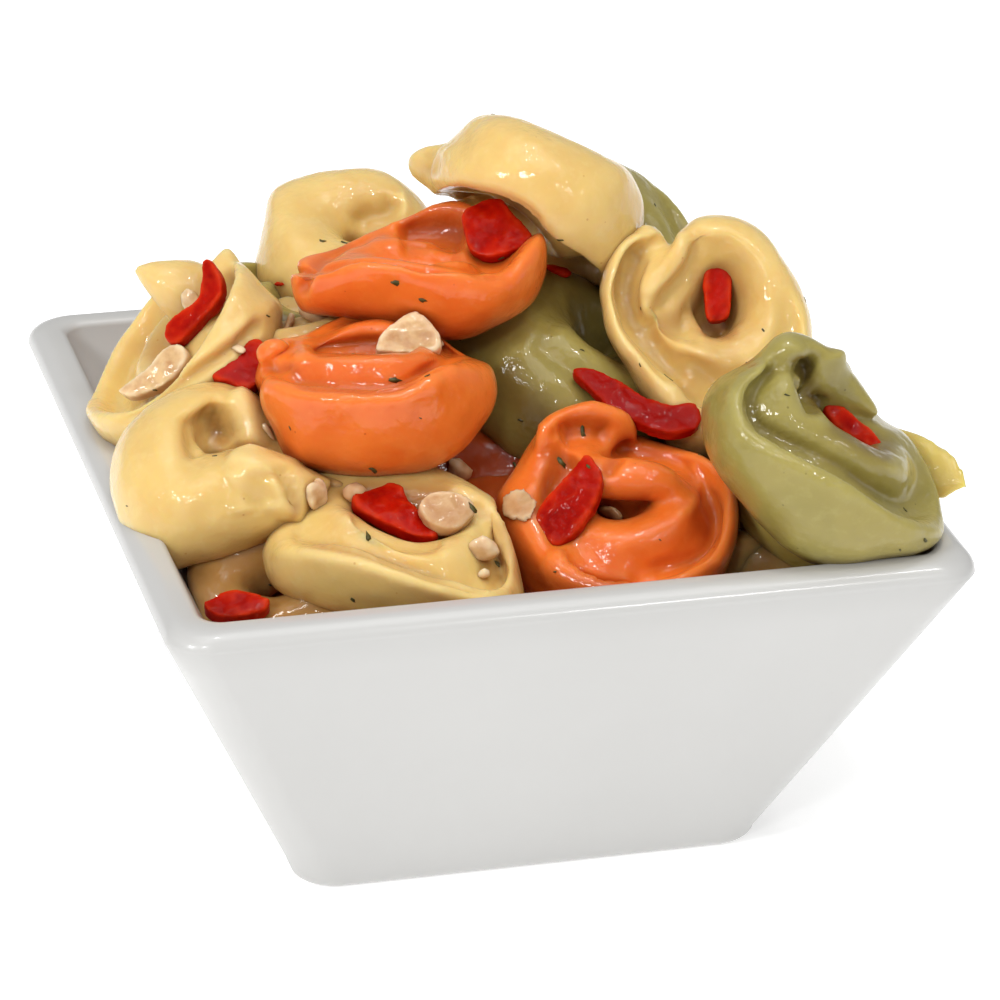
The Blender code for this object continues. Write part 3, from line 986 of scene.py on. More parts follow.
@dataclass(frozen=True)
class Fold:
    """A pinched corner or rolled edge: a tapered tube in its ring's own frame."""
    path: tuple
    radii: tuple
    flat: float = 1.0

    def build(self, bm: bmesh.types.BMesh, rows: int = 26) -> None:
        """Adds the tube to a bmesh.

        Args:
            bm: The bmesh, in the ring's own frame.
            rows: Faces along the tube.
        """
        made = bmesh.ops.create_uvsphere(bm, u_segments=FOLD_SIDES, v_segments=rows, radius=1.0)
        verts = made["verts"]
        unit = np.array([v.co for v in verts])
        reach = np.clip(1.0 - 2.0 * np.arccos(np.clip(unit[:, 2], -1, 1)) / math.pi, -1, 1)
        round_at = np.arctan2(unit[:, 1], unit[:, 0])
        where = 0.5 * (reach + 1.0)
        centre = open_curve(self.path, where)
        along = open_curve(self.path, where + 0.01) - open_curve(self.path, where - 0.01)
        along /= np.linalg.norm(along, axis=1)[:, None]
        radius = open_curve([(r, 0.0, 0.0) for r in self.radii], where)[:, 0]
        radius = radius * (1.0 - np.abs(reach) ** 6) ** BLUNT
        path = np.array(self.path, float)
        across = np.cross(path[-1] - path[0], path[len(path) // 2] - path[0])
        across /= np.linalg.norm(across)
        up = across - along * (along @ across)[:, None]
        up /= np.linalg.norm(up, axis=1)[:, None]
        side = np.cross(along, up)
        out = (centre + up * (np.cos(round_at) * radius * self.flat)[:, None]
               + side * (np.sin(round_at) * radius)[:, None])
        for vert, point in zip(verts, out):
            vert.co = point


@dataclass(frozen=True)
class Roll:
    """A rolled edge or a lobe of dough, drawn along the photo.

    Each point is a pixel across and down, how much nearer than the ring's middle it lies,
    and the roll's radius there, both in millimetres.
    """
    path: tuple

    def build(self, bm: bmesh.types.BMesh, distance: float) -> None:
        """Adds the roll to a bmesh.

        Args:
            bm: The bmesh, in the part's frame.
            distance: How far the ring's middle is from the camera, in millimetres.
        """
        centres = tuple(tuple(SIGHT.spot(x, y, distance - near)) for x, y, near, _ in self.path)
        radii = tuple(radius for *_, radius in self.path)
        Fold(centres, radii).build(bm, 8 * len(centres))


@dataclass
class PastaRing:
    """One folded ring of stuffed pasta: where it lies and how its tube is shaped.

    Its ends meet at 90 on the ring: end one comes round from 0 and end two from 180, each
    going on past the meeting by its lap. A bump is a ring angle and a spread, then how much
    further out, further up, wider, taller and more brimmed the tube is there.
    """
    dough: Dough
    place: tuple
    turn: float
    tip: float
    spin: float
    size: float = 1.0
    body: float = 1.08
    wide: float = 1.0
    deep: float = 1.0
    hand: int = 1
    brim: float = 1.0
    brim_at: float = -90.0
    brim_span: float = 150.0
    lap: tuple = (40.0, 40.0)
    out: tuple = (1.5, -1.2)
    lift: tuple = (3.0, -1.5)
    pinch: tuple = (0.5, 0.5)
    squash: tuple = (0.15, 0.15)
    bumps: tuple = ()
    folds: tuple = ()
    rolls: tuple = ()
    grabs: tuple = ()
    strokes: tuple = ()
    pins: tuple = ()
    eases: tuple = ()
    # stains_and_shade and soak_and_shade paint the soaked colour along strokes and all over:
    # dressing stain, and painted shade where the ring lies in shade.
    stains_and_shade: tuple = ()
    soak_and_shade: float = 0.0
    rows: int = 108
    sides: int = 60
    tone: float = 0.2
    voxel: float = 0.55
    soften: int = 4
    waves: tuple = ((9.0, 0.35), (3.2, 0.12))

    def surface(self, reach: np.ndarray, v: np.ndarray) -> np.ndarray:
        """Points of the ring's skin in its own frame.

        Args:
            reach: Along the tube, from -1 at end two to 1 at end one.
            v: Round its section, from 0 to 1.

        Returns:
            One point for each pair.
        """
        first = reach > 0
        angle = -90.0 + reach * (180.0 + np.where(first, *self.lap))
        shape = np.tile([0.0, 0.0, 1.0, 1.0, 0.0], (len(reach), 1))
        for at, spread, *more in self.bumps:
            shape += np.exp(-((angle - at) / spread) ** 2)[:, None] * np.array(more)
        out, up, wider, taller, brim = shape.T
        away = np.abs(angle - self.brim_at)
        brim = brim + self.brim * (1.0 - ease(away, 0.55 * self.brim_span, self.brim_span))
        brim = np.clip(brim, 0.0, MOST_BRIM)[:, None]
        section = closed_curve(PLAIN, v) * (1.0 - brim) + closed_curve(BRIMMED, v) * brim
        far = np.abs(reach)
        close = np.clip(1.0 - far ** 5, 0.0, 1.0) ** BLUNT
        narrow = close * (1.0 - np.where(first, *self.pinch) * ease(far, 0.62, 0.97))
        lower = close * (1.0 - np.where(first, *self.squash) * ease(far, 0.6, 0.97))
        r = TIP[0] + (section[:, 0] * self.body * wider - TIP[0]) * narrow
        z = TIP[1] + (section[:, 1] * self.body * taller - TIP[1]) * lower
        near_end = ease(far, 0.7, 1.0)
        r = RING_RADIUS + r + out + np.where(first, *self.out) * near_end
        z = z + up + np.where(first, *self.lift) * near_end
        a = np.radians(angle)
        return self.size * np.stack([r * np.cos(a) * self.wide * self.hand,
                                     r * np.sin(a) * self.deep, z], 1)

    def build(self, bm: bmesh.types.BMesh) -> None:
        """Adds the ring and its folds to a bmesh, in the part's frame.

        Args:
            bm: The bmesh, in the part's frame.
        """
        made = bmesh.ops.create_uvsphere(bm, u_segments=self.sides, v_segments=self.rows,
                                         radius=1.0)
        verts = made["verts"]
        unit = np.array([v.co for v in verts])
        reach = 1.0 - 2.0 * np.arccos(np.clip(unit[:, 2], -1, 1)) / math.pi
        bend = ROW_BEND * math.pi / 2.0
        reach = np.sin(reach * bend) / math.sin(bend)
        points = self.surface(reach, np.arctan2(unit[:, 1], unit[:, 0]) / (2.0 * math.pi))
        for vert, point in zip(verts, points):
            vert.co = point
        for fold in self.folds:
            fold.build(bm)
        move = stance(self.place, self.turn, self.tip, self.spin)
        bmesh.ops.transform(bm, matrix=move, verts=bm.verts)
        distance = SIGHT.seen(np.array([self.place]))[0, 2]
        for roll in self.rolls:
            roll.build(bm, distance)

    def make(self, name: str, seed: int) -> Piece:
        """Builds the ring as a piece.

        Args:
            name: The piece's name.
            seed: Which noise it gets.

        Returns:
            The piece, not yet dressed.
        """
        piece = make_piece(name, self.build)
        if self.folds or self.rolls or self.grabs or self.strokes or self.pins:
            fuse(piece, self.voxel, self.soften)
            self.sculpt(piece)
        ripple(piece, self.waves, seed)
        set_attribute(piece.data, "tone", self.tone)
        set_attribute(piece.data, "thin", ridges(piece.data, DOUGH_EDGE))
        set_attribute(piece.data, "stain_and_shade", stained_and_shaded(piece.data, self.soak_and_shade, self.stains_and_shade))
        return piece

    def sculpt(self, piece: Piece) -> None:
        """Pulls the skin and presses the folds that the photo shows into it.

        Args:
            piece: The ring's piece.
        """
        mesh = piece.data
        points = coordinates(mesh) / MM
        scale = SIGHT.scale(SIGHT.seen(points)[:, 2].mean())
        if self.pins:
            points = pinned(points, self.pins)
        for grab in self.grabs:
            points = points + grab.shift(points, SIGHT.seen(points), scale)
        for place in self.eases:
            points = place.eased(mesh, points, scale)
        set_coordinates(mesh, points * MM)
        if not self.strokes:
            return
        outward, seen = normals(mesh), SIGHT.seen(points)
        shown = self.shown(mesh, points, outward)
        move = np.zeros(len(points))
        for stroke in self.strokes:
            move += stroke.shift(seen, scale)
        points = points + outward * (move * shown)[:, None]
        set_coordinates(mesh, blurred(mesh, points, 0.4, 2) * MM)

    def shown(self, mesh: bpy.types.Mesh, points: np.ndarray, outward: np.ndarray) -> np.ndarray:
        """How well the camera sees each point of the skin.

        Args:
            mesh: The ring's mesh.
            points: Its points, in millimetres.
            outward: Its normals.

        Returns:
            From 0, where the skin is hidden or on edge, to 1.
        """
        tree = BVHTree.FromPolygons(points.tolist(), [list(f.vertices) for f in mesh.polygons])
        eye, back = Vector(SIGHT.place), np.array(SIGHT.place) - points
        facing = np.einsum("ij,ij->i", outward, back) / np.linalg.norm(back, axis=1)
        shown = ease(facing, 0.0, SQUARE_ON)
        for i in np.flatnonzero(shown > 0.0):
            spot = Vector(points[i])
            way = (eye - spot).normalized()
            if tree.ray_cast(spot + way * OFF_SKIN, way)[0] is not None:
                shown[i] = 0.0
        return blurred(mesh, shown, 0.5, 2)


# Each ring's stains_and_shade strokes paint its hollows and shaded flanks in the soaked colour:
# dressing stain and painted shade.
RINGS: dict[str, PastaRing] = {
    "egg_right": PastaRing(
        Dough.EGG, (30.3, -3.0, 66.0), -99, 48, 154, size=0.96, body=1.1, hand=-1, brim_at=30,
        brim_span=170, lap=(30, 70), out=(6.0, -5.0), lift=(3.5, 2.0), pinch=(0.0, 0.4),
        squash=(0.0, 0.15),
        grabs=(Grab((647, 234), (-2, -9, 0), 3.2),),
        eases=(Soften((672, 275), 4.5, 40), Soften((680, 325), 4.0, 40)),
        pins=((585, 253, 612, 252), (584, 285, 600, 286), (587, 320, 603, 318),
              (595, 350, 615, 345), (612, 373, 632, 363), (640, 392, 655, 385),
              (680, 403, 682, 405), (645, 228, 670, 250), (660, 215, 682, 231),
              (680, 208, 695, 219), (700, 205, 711, 215), (720, 207, 731, 217),
              (745, 215, 752, 226), (765, 225, 768, 240), (785, 240, 783, 260),
              (800, 262, 797, 281), (812, 285, 806, 303), (820, 310, 811, 325),
              (602, 270, 621, 277), (606, 305, 619, 306), (617, 340, 629, 336),
              (642, 373, 655, 362), (680, 393, 690, 380), (655, 280, 652, 284),
              (705, 290, 713, 257), (727, 308, 745, 298), (706, 332, 716, 341),
              (683, 312, 690, 318)),
        strokes=(Stroke(((648, 238), (636, 258), (627, 282), (627, 305), (638, 330), (655, 352),
                         (672, 370), (690, 378)), 1.3, -1.6),
                 Stroke(((645, 308), (660, 318), (680, 322), (700, 320)), 2.2, -2.2),
                 Stroke(((697, 226), (696, 250), (688, 272), (672, 292), (660, 308)), 1.2, -1.2),
                 Stroke(((684, 224), (682, 248), (672, 270), (655, 287), (647, 300)), 1.1, 0.9),
                 Stroke(((672, 340), (700, 350), (730, 345), (752, 325)), 1.6, 0.5)),
        rolls=(Roll(((640, 231, 2.6, 0.8), (653, 231, 3.2, 1.2), (661, 246, 4.2, 1.4),
                     (656, 265, 5.2, 1.4), (645, 281, 5.6, 1.3), (636, 294, 5.0, 0.7))),
               Roll(((702, 294, -6.5, 2.4), (700, 308, -6.0, 4.2), (704, 320, -5.5, 4.4),
                     (714, 328, -5.5, 2.6)))),
        stains_and_shade=(Stroke(((708, 262), (720, 290), (718, 315), (712, 342)), 3.2, 1.0, 0.1),
                Stroke(((700, 295), (678, 318), (655, 335), (650, 350)), 2.2, 0.5),
                Stroke(((670, 385), (705, 368), (745, 350)), 3.0, 0.3),
                Stroke(((648, 238), (634, 262), (626, 300), (640, 335), (672, 370)), 1.2, 0.35))),
    "tomato_front": PastaRing(
        Dough.TOMATO, (11.9, -23.8, 47.0), -102, 29, 113, body=1.15, brim_at=-30, lap=(30, 40),
        out=(0.0, -2.5), lift=(2.0, 0.0), pinch=(0.1, 0.5),
        bumps=((45, 50, -1.5, -3, -0.1, -0.15, -0.8),),
        folds=(Fold(((-8.6, 7.7, 8.0), (-5.8, 11.4, 9.5), (-2.4, 12.5, 10.1), (1.7, 11.8, 9.9),
                     (5.1, 10.4, 8.3), (6.3, 8.8, 5.9), (6.5, 7.6, 3.3)),
                    (1.8, 1.8, 1.8, 1.8, 1.7, 1.7, 1.6)),
               Fold(((-5.1, 10.6, 6.1), (-2.0, 12.3, 6.4), (1.9, 11.8, 6.3), (5.2, 9.8, 4.8),
                     (6.3, 8.6, 2.6)), (2.6, 3.0, 3.0, 2.8, 2.0)),
               Fold(((-5.7, 5.3, 7.6), (-0.3, 1.2, 8.1), (5.0, -1.7, 6.9), (2.8, -2.3, 3.2)),
                    (3.2, 3.0, 2.4, 1.6))),
        rolls=(Roll(((556, 444, 1.0, 2.2), (582, 446, 1.0, 3.1), (608, 449, 0.8, 2.6))),),
        eases=(Soften((585, 448), 5.5, 90), Soften((702, 488), 4.0, 30)),
        pins=((527, 445, 538, 432), (531, 420, 541, 422), (545, 404, 553, 413),
              (570, 394, 572, 405), (598, 394, 595, 401), (622, 404, 618, 410),
              (637, 421, 633, 421), (641, 436, 637, 433), (640, 445, 637, 442),
              (517, 455, 524, 456), (505, 470, 512, 473), (501, 490, 502, 491),
              (503, 520, 501, 518), (512, 545, 510, 545), (524, 585, 522, 588),
              (660, 446, 657, 445), (690, 450, 685, 452), (714, 460, 705, 461),
              (730, 487, 725, 486), (745, 520, 737, 520), (747, 545, 736, 548),
              (735, 572, 726, 573), (575, 414, 578, 421), (605, 413, 603, 421),
              (640, 503, 658, 500), (620, 517, 625, 518), (600, 500, 600, 500)),
        strokes=(Stroke(((549, 434), (554, 448), (547, 466), (539, 484), (533, 498)), 1.0, 0.8),
                 Stroke(((574, 452), (563, 468), (556, 486), (560, 502), (590, 508)), 2.2, -2.4),
                 Stroke(((558, 437), (585, 431), (614, 437)), 1.5, -1.7),
                 Stroke(((636, 441), (622, 450), (612, 464), (606, 478)), 0.7, -1.1),
                 Stroke(((690, 462), (699, 478), (697, 496), (687, 511), (668, 520)), 0.7, 0.5),
                 Stroke(((692, 478), (711, 503), (716, 525), (711, 546), (696, 558), (668, 566),
                         (636, 572)), 0.9, -0.8),
                 Stroke(((704, 474), (724, 500), (730, 528), (725, 553), (708, 570)), 1.2, 0.5),
                 Stroke(((548, 548), (572, 566), (604, 578), (640, 580)), 2.6, 1.2)),
        stains_and_shade=(Stroke(((566, 448), (558, 475), (556, 500), (590, 512)), 2.6, 0.6),
                Stroke(((596, 506), (625, 507), (655, 500)), 1.6, 0.8),
                Stroke(((560, 428), (585, 424), (612, 430)), 1.6, 0.5),
                Stroke(((636, 441), (622, 450), (612, 464), (606, 478)), 0.8, 0.5),
                Stroke(((692, 478), (711, 503), (716, 525), (711, 546), (690, 560), (640, 572)),
                       0.7, 0.4),
                Stroke(((524, 575), (570, 590), (640, 585)), 2.0, 0.6))),
    "spinach_right": PastaRing(
        Dough.SPINACH, (36.6, -35.9, 60.0), -47, 44, 90, body=1.12, deep=1.08, brim_at=-190,
        brim_span=170, out=(-1, 1), lift=(-1, 2), bumps=((0, 60, 0, -1.5, 0, -0.15, 0),),
        folds=(Fold(((-8.2, 11.0, -1.3), (-6.6, 14.4, 4.1), (-1.8, 13.5, 8.3), (2.7, 10.0, 8.8)),
                    (2.6, 2.4, 2.2, 1.6)),
               Fold(((0.1, 9.2, 4.0), (2.2, 9.4, 8.2), (4.2, 7.8, 8.9)), (3.5, 3.2, 1.6))),
        pins=((790, 328, 786, 333), (760, 341, 758, 357), (735, 360, 732, 372),
              (718, 385, 712, 388), (709, 415, 702, 415), (709, 442, 704, 442),
              (718, 470, 715, 470), (735, 500, 735, 498), (760, 530, 762, 528),
              (790, 552, 790, 550), (815, 562, 815, 556), (850, 570, 853, 556),
              (880, 572, 884, 553), (912, 565, 914, 550), (940, 550, 936, 543),
              (950, 525, 943, 528), (948, 500, 941, 506), (942, 478, 938, 488),
              (930, 450, 927, 460), (915, 425, 908, 433), (900, 400, 890, 421),
              (880, 375, 873, 402), (865, 362, 860, 382), (851, 355, 850, 364),
              (845, 342, 846, 353), (830, 335, 832, 349), (812, 334, 812, 342),
              (775, 348, 778, 350), (757, 368, 757, 373), (757, 390, 741, 394),
              (768, 415, 744, 425), (785, 443, 766, 443), (810, 475, 800, 461),
              (840, 508, 840, 484), (870, 530, 870, 502), (900, 537, 900, 516),
              (930, 528, 926, 519), (818, 410, 818, 411), (838, 448, 850, 441),
              (870, 470, 885, 458)),
        rolls=(Roll(((771, 377, 7.6, 2.6), (781, 395, 8.3, 3.9), (796, 430, 8.4, 4.1),
                     (821, 465, 7.4, 4.0), (856, 489, 6.0, 3.6), (892, 503, 4.4, 2.4))),
               Roll(((764, 364, 6.4, 2.2), (782, 352, 7.0, 2.8), (800, 345, 6.0, 2.2))),
               Roll(((772, 378, 8.6, 1.8), (766, 400, 9.2, 2.0), (775, 426, 9.2, 2.0),
                     (802, 452, 8.6, 2.0), (836, 478, 7.6, 1.8))),
               Roll(((828, 358, 1.8, 2.2), (830, 372, 1.0, 2.4), (837, 386, -1.0, 2.2))),
               Roll(((846, 358, 1.0, 2.0), (853, 370, 0.2, 2.3), (864, 382, -1.2, 2.2),
                     (880, 395, -2.4, 2.0))),
               Roll(((840, 378, -0.8, 2.2), (856, 390, -2.0, 2.2), (872, 402, -3.0, 1.8)))),
        grabs=(Grab((811, 400), (2, -2, -3.5), 2.8),),
        eases=(Soften((850, 392), 5.5, 110), Soften((758, 395), 3.4, 40),
               Soften((812, 395), 3.0, 40)),
        strokes=(Stroke(((784, 342), (764, 366), (745, 381), (738, 400), (745, 427), (766, 444),
                         (800, 461), (840, 483), (870, 501), (908, 517)), 1.4, 0.3),
                 Stroke(((776, 372), (758, 385), (749, 402), (755, 421), (778, 436), (806, 450),
                         (836, 465), (864, 484), (892, 501), (916, 511)), 0.9, -0.9),
                 Stroke(((802, 358), (807, 378), (814, 398), (821, 410)), 1.0, -3.2)),
        stains_and_shade=(Stroke(((800, 354), (806, 378), (813, 398), (822, 414)), 1.3, 1.0, 0.05),
                Stroke(((830, 415), (860, 440), (900, 455)), 2.0, 0.8),
                Stroke(((758, 385), (749, 402), (755, 421), (778, 436), (806, 450), (836, 465),
                        (864, 484), (892, 501)), 0.7, 0.4),
                Stroke(((710, 480), (740, 515), (790, 552)), 2.5, 0.45))),
    "tomato_middle": PastaRing(
        Dough.TOMATO, (-18.9, -12.2, 62.0), -112, 10, -163, body=1.12, wide=0.85, deep=1.02,
        brim=0.75, brim_at=-120, brim_span=170, out=(-1, 1.5),
        bumps=((-90, 40, 0, 0, 0, -0.1, 0),),
        pins=((262, 360, 257, 366), (264, 347, 258, 352), (272, 338, 266, 342),
              (295, 322, 298, 335), (325, 312, 325, 324), (360, 328, 355, 322),
              (395, 335, 395, 324), (262, 390, 258, 385), (263, 420, 262, 405),
              (275, 450, 277, 434), (300, 462, 297, 452), (330, 330, 330, 331),
              (330, 379, 322, 354), (370, 378, 370, 353), (405, 370, 410, 353),
              (440, 358, 442, 357), (283, 381, 276, 373), (302, 402, 304, 386),
              (340, 409, 340, 389), (380, 409, 382, 390), (420, 401, 414, 381),
              (455, 388, 440, 368), (480, 368, 465, 362), (477, 325, 468, 357),
              (492, 335, 484, 363), (502, 355, 495, 370), (503, 380, 497, 388),
              (500, 405, 495, 410), (487, 437, 483, 436), (455, 463, 456, 458),
              (410, 480, 410, 473), (370, 483, 370, 475), (330, 475, 332, 465)),
        strokes=(Stroke(((290, 370), (300, 381), (328, 387), (365, 388), (396, 387), (412, 380),
                         (430, 369), (456, 363)), 0.8, -1.1),
                 Stroke(((296, 366), (306, 357), (332, 352), (372, 352), (412, 352), (446, 356)),
                        1.2, 0.6),
                 Stroke(((308, 348), (340, 346), (380, 345), (420, 346)), 1.2, -1.8),
                 Stroke(((262, 368), (278, 370), (292, 364)), 0.7, -1.0),
                 Stroke(((266, 352), (278, 347), (290, 350)), 1.3, 0.8),
                 Stroke(((310, 396), (350, 396), (392, 396), (420, 388), (446, 376)), 1.8, 0.5)),
        rolls=(Roll(((265, 354, 2.2, 1.5), (275, 350, 3.0, 2.1), (287, 354, 3.0, 1.5))),),
        stains_and_shade=(Stroke(((306, 348), (340, 346), (380, 346), (430, 348)), 1.4, 0.6),
                Stroke(((262, 368), (278, 370), (292, 368), (304, 384), (365, 389), (398, 387),
                        (430, 369)), 0.6, 0.45),
                Stroke(((290, 455), (340, 472), (400, 478), (450, 466)), 1.3, 0.5))),
    "tomato_top": PastaRing(
        Dough.TOMATO, (-9.1, 3.1, 73.0), 165, 8, -88, body=1.02, wide=0.8, deep=1.04, brim=0.75,
        brim_at=-120, brim_span=170, out=(-1, 1.5),
        bumps=((-70, 50, 0, -3, 0.1, 0, -0.6), (-150, 50, 0, -1.5, 0.1, 0.15, 0)),
        pins=((308, 278, 293, 276), (320, 315, 303, 308), (345, 330, 332, 310),
              (400, 340, 400, 319), (460, 345, 452, 334), (500, 338, 495, 327),
              (530, 310, 532, 303), (540, 275, 546, 266), (530, 240, 541, 230),
              (312, 240, 291, 260), (325, 222, 302, 250), (345, 212, 335, 239),
              (370, 205, 370, 228), (400, 200, 403, 215), (430, 199, 432, 201),
              (460, 203, 465, 198), (320, 258, 315, 274), (350, 262, 350, 264),
              (400, 263, 400, 268), (460, 258, 460, 274), (510, 242, 515, 262),
              (345, 224, 345, 250), (380, 218, 385, 240), (425, 221, 425, 243),
              (455, 236, 458, 252)),
        strokes=(Stroke(((301, 300), (304, 284), (316, 265), (333, 251), (352, 243), (380, 238)),
                        0.8, -1.2),
                 Stroke(((305, 302), (311, 284), (322, 270), (345, 262), (400, 267), (450, 273),
                         (486, 280)), 0.8, 0.5),
                 Stroke(((335, 258), (356, 246), (388, 241), (424, 243), (456, 252), (486, 267)),
                        0.8, 0.5),
                 Stroke(((396, 234), (420, 231), (444, 231), (468, 238)), 2.4, -2.2),
                 Stroke(((430, 252), (460, 264), (495, 274), (520, 272)), 1.2, -0.6)),
        stains_and_shade=(Stroke(((398, 230), (422, 228), (446, 228), (474, 240)), 2.2, 0.75),
                Stroke(((301, 296), (306, 280), (318, 264), (335, 251), (356, 243)), 0.6, 0.4),
                Stroke(((305, 308), (400, 322), (460, 336), (520, 318)), 1.4, 0.5))),
    "egg_top": PastaRing(
        Dough.EGG, (11.1, 14.6, 80.0), -141, 143, 166, deep=1.02, brim=0.7, out=(0, 2),
        folds=(Fold(((0.1, 10.8, 1.6), (-0.6, 15.1, 1.6), (-0.5, 18.8, 2.2)), (6, 3.6, 1.6)),),
        pins=((412, 158, 409, 160), (425, 143, 427, 145), (440, 125, 451, 131),
              (470, 113, 475, 116), (500, 112, 502, 114), (545, 120, 545, 126),
              (590, 140, 590, 147), (625, 165, 626, 169), (645, 185, 640, 188),
              (652, 210, 643, 207), (640, 235, 632, 236), (615, 263, 605, 268),
              (595, 257, 585, 260), (560, 238, 552, 239), (520, 218, 522, 206),
              (480, 205, 482, 191), (450, 198, 450, 189), (430, 188, 432, 190)),
        strokes=(Stroke(((452, 200), (480, 202), (512, 212), (540, 235)), 1.4, -1.6),
                 Stroke(((428, 146), (433, 160), (430, 178)), 0.7, -0.7)),
        stains_and_shade=(Stroke(((440, 194), (480, 200), (520, 214), (560, 248)), 1.3, 0.7),
                Stroke(((428, 150), (430, 178)), 0.8, 0.3))),
    "egg_back": PastaRing(
        Dough.EGG, (-11.1, 30.0, 65.0), 91, 164, -177, size=0.88, body=1.15, brim=0.3,
        pins=((248, 250, 259, 250), (252, 225, 260, 222), (268, 205, 264, 203),
              (290, 191, 277, 185), (330, 181, 338, 171), (370, 186, 380, 173),
              (405, 200, 413, 194), (255, 275, 261, 276)),
        strokes=(Stroke(((354, 228), (368, 216), (386, 210), (397, 198)), 1.5, -1.5),
                 Stroke(((398, 190), (404, 204), (400, 218)), 0.8, 0.7)),
        stains_and_shade=(Stroke(((360, 226), (380, 216), (394, 204)), 1.6, 0.3),)),
    "egg_left": PastaRing(
        Dough.EGG, (-36.0, 13.2, 60.0), 174, 48, 110, size=0.91, deep=1.05, brim_at=-60,
        brim_span=180, lap=(10, 10), out=(1, 1), lift=(1, 0), pinch=(0.3, 0.5),
        folds=(Fold(((-3.6, 6.2, 2.4), (-2.9, 4.8, 8.1), (-4.1, 3.7, 12.9)), (5.5, 3.6, 0.6)),
               Fold(((-1.1, 6.5, 1.8), (0.7, 10.5, 3.7), (0.4, 13.4, 5.2)), (6, 3.2, 0.7))),
        pins=((140, 273, 135, 271), (155, 293, 157, 296), (120, 322, 130, 325),
              (100, 352, 110, 352), (89, 390, 96, 392), (90, 415, 86, 412),
              (110, 438, 105, 441), (235, 254, 232, 249), (190, 266, 185, 264),
              (260, 275, 262, 289), (278, 310, 279, 311), (280, 330, 278, 333)),
        strokes=(Stroke(((266, 316), (247, 336), (216, 360), (180, 382), (145, 404), (110, 424)),
                        0.9, -1.1),
                 Stroke(((256, 310), (232, 334), (196, 361), (160, 383), (118, 406)), 0.9, 0.6),
                 Stroke(((270, 328), (244, 350), (206, 377), (160, 408), (118, 434)), 0.9, 0.5)),
        stains_and_shade=(Stroke(((215, 270), (200, 300), (175, 335), (140, 372)), 2.6, 0.55),
                Stroke(((266, 316), (247, 336), (216, 360), (180, 382), (145, 404)), 0.7, 0.3))),
    "egg_near_left": PastaRing(
        Dough.EGG, (-37.0, -13.7, 54.4), 114, 159, -150, size=0.9, body=1.12, brim=0.6,
        lap=(50, 40), out=(-2, 3), lift=(-1, -1),
        folds=(Fold(((-6.0, 3.3, -2.3), (-7.8, 7.9, -5.2), (-6.4, 12.9, -8.6)), (7, 6.2, 1.4)),),
        pins=((118, 480, 110, 480), (121, 455, 113, 457), (143, 417, 138, 420),
              (175, 393, 172, 393), (215, 382, 212, 382), (245, 385, 240, 389),
              (122, 508, 114, 507), (150, 532, 143, 545), (170, 555, 164, 567),
              (200, 576, 192, 566), (235, 580, 232, 553), (262, 572, 264, 539),
              (225, 445, 203, 440), (232, 432, 211, 409), (245, 461, 215, 453),
              (265, 462, 237, 450), (282, 442, 285, 455), (325, 455, 325, 470),
              (350, 490, 338, 486), (335, 518, 308, 517), (300, 527, 294, 518)),
        grabs=(Grab((325, 488), (0, 0, -3.5), 8.0), Grab((343, 477), (-9, 6, 0), 2.5)),
        eases=(Soften((208, 436), 3.6, 30), Soften((332, 480), 3.2, 90)),
        strokes=(Stroke(((262, 468), (266, 488), (268, 508)), 2.4, -1.1),
                 Stroke(((238, 470), (240, 490), (246, 515)), 1.6, 0.7),
                 Stroke(((281, 462), (290, 488), (294, 514)), 0.7, -1.3),
                 Stroke(((212, 405), (216, 424), (221, 446)), 1.5, -2.4),
                 Stroke(((196, 412), (196, 436), (202, 458)), 1.8, -1.3),
                 Stroke(((226, 394), (243, 410), (252, 430), (250, 450)), 1.8, 1.9),
                 Stroke(((166, 508), (200, 488), (240, 466), (268, 470)), 2.0, 0.5)),
        stains_and_shade=(Stroke(((210, 408), (216, 428), (226, 450)), 1.5, 0.8, 0.1),
                Stroke(((283, 470), (291, 490), (295, 514), (276, 533)), 0.6, 0.7),
                Stroke(((150, 555), (200, 570), (262, 545)), 1.6, 0.4))),
    "egg_near": PastaRing(
        Dough.EGG, (-18.8, -28.1, 48.0), -77, 20, -22, body=1.1, deep=1.05, brim_at=10,
        brim_span=160, out=(0, 0), lift=(1, 0), bumps=((-110, 50, 0, -3, 0, -0.15, -0.8),),
        pins=((305, 537, 300, 541), (322, 560, 332, 545), (350, 577, 372, 555),
              (400, 588, 418, 571), (440, 591, 458, 583), (480, 584, 495, 592),
              (522, 548, 514, 555), (512, 525, 503, 525), (500, 510, 495, 508),
              (480, 480, 478, 494), (455, 465, 452, 480), (265, 560, 262, 560),
              (280, 530, 275, 541), (275, 590, 272, 588), (340, 527, 338, 510),
              (370, 535, 370, 528), (405, 540, 405, 542), (524, 575, 522, 585)),
        stains_and_shade=(Stroke(((340, 492), (380, 500), (420, 503), (465, 500)), 3.0, 0.95),
                Stroke(((296, 544), (335, 548), (375, 558), (418, 573), (458, 585)), 0.6, 0.45),
                Stroke(((496, 515), (510, 548), (519, 588)), 1.0, 0.5),
                Stroke(((262, 570), (280, 596), (320, 606)), 1.4, 0.5)),
        strokes=(Stroke(((300, 544), (335, 548), (375, 558), (418, 573), (458, 585), (492, 594)),
                        0.8, -0.9),
                 Stroke(((296, 552), (335, 556), (375, 567), (418, 582), (460, 594)), 1.2, 0.5),
                 Stroke(((350, 512), (376, 528), (410, 535), (445, 528)), 2.2, -1.6),
                 Stroke(((440, 484), (470, 494), (491, 510), (502, 538), (513, 572)), 0.8, 0.6))),
    "spinach_middle": PastaRing(
        Dough.SPINACH, (14.1, 3.4, 57.0), 147, 149, -146, size=1.05, body=1.15, brim=0.5,
        strokes=(Stroke(((545, 325), (585, 350), (625, 382), (662, 412)), 1.6, 0.9),
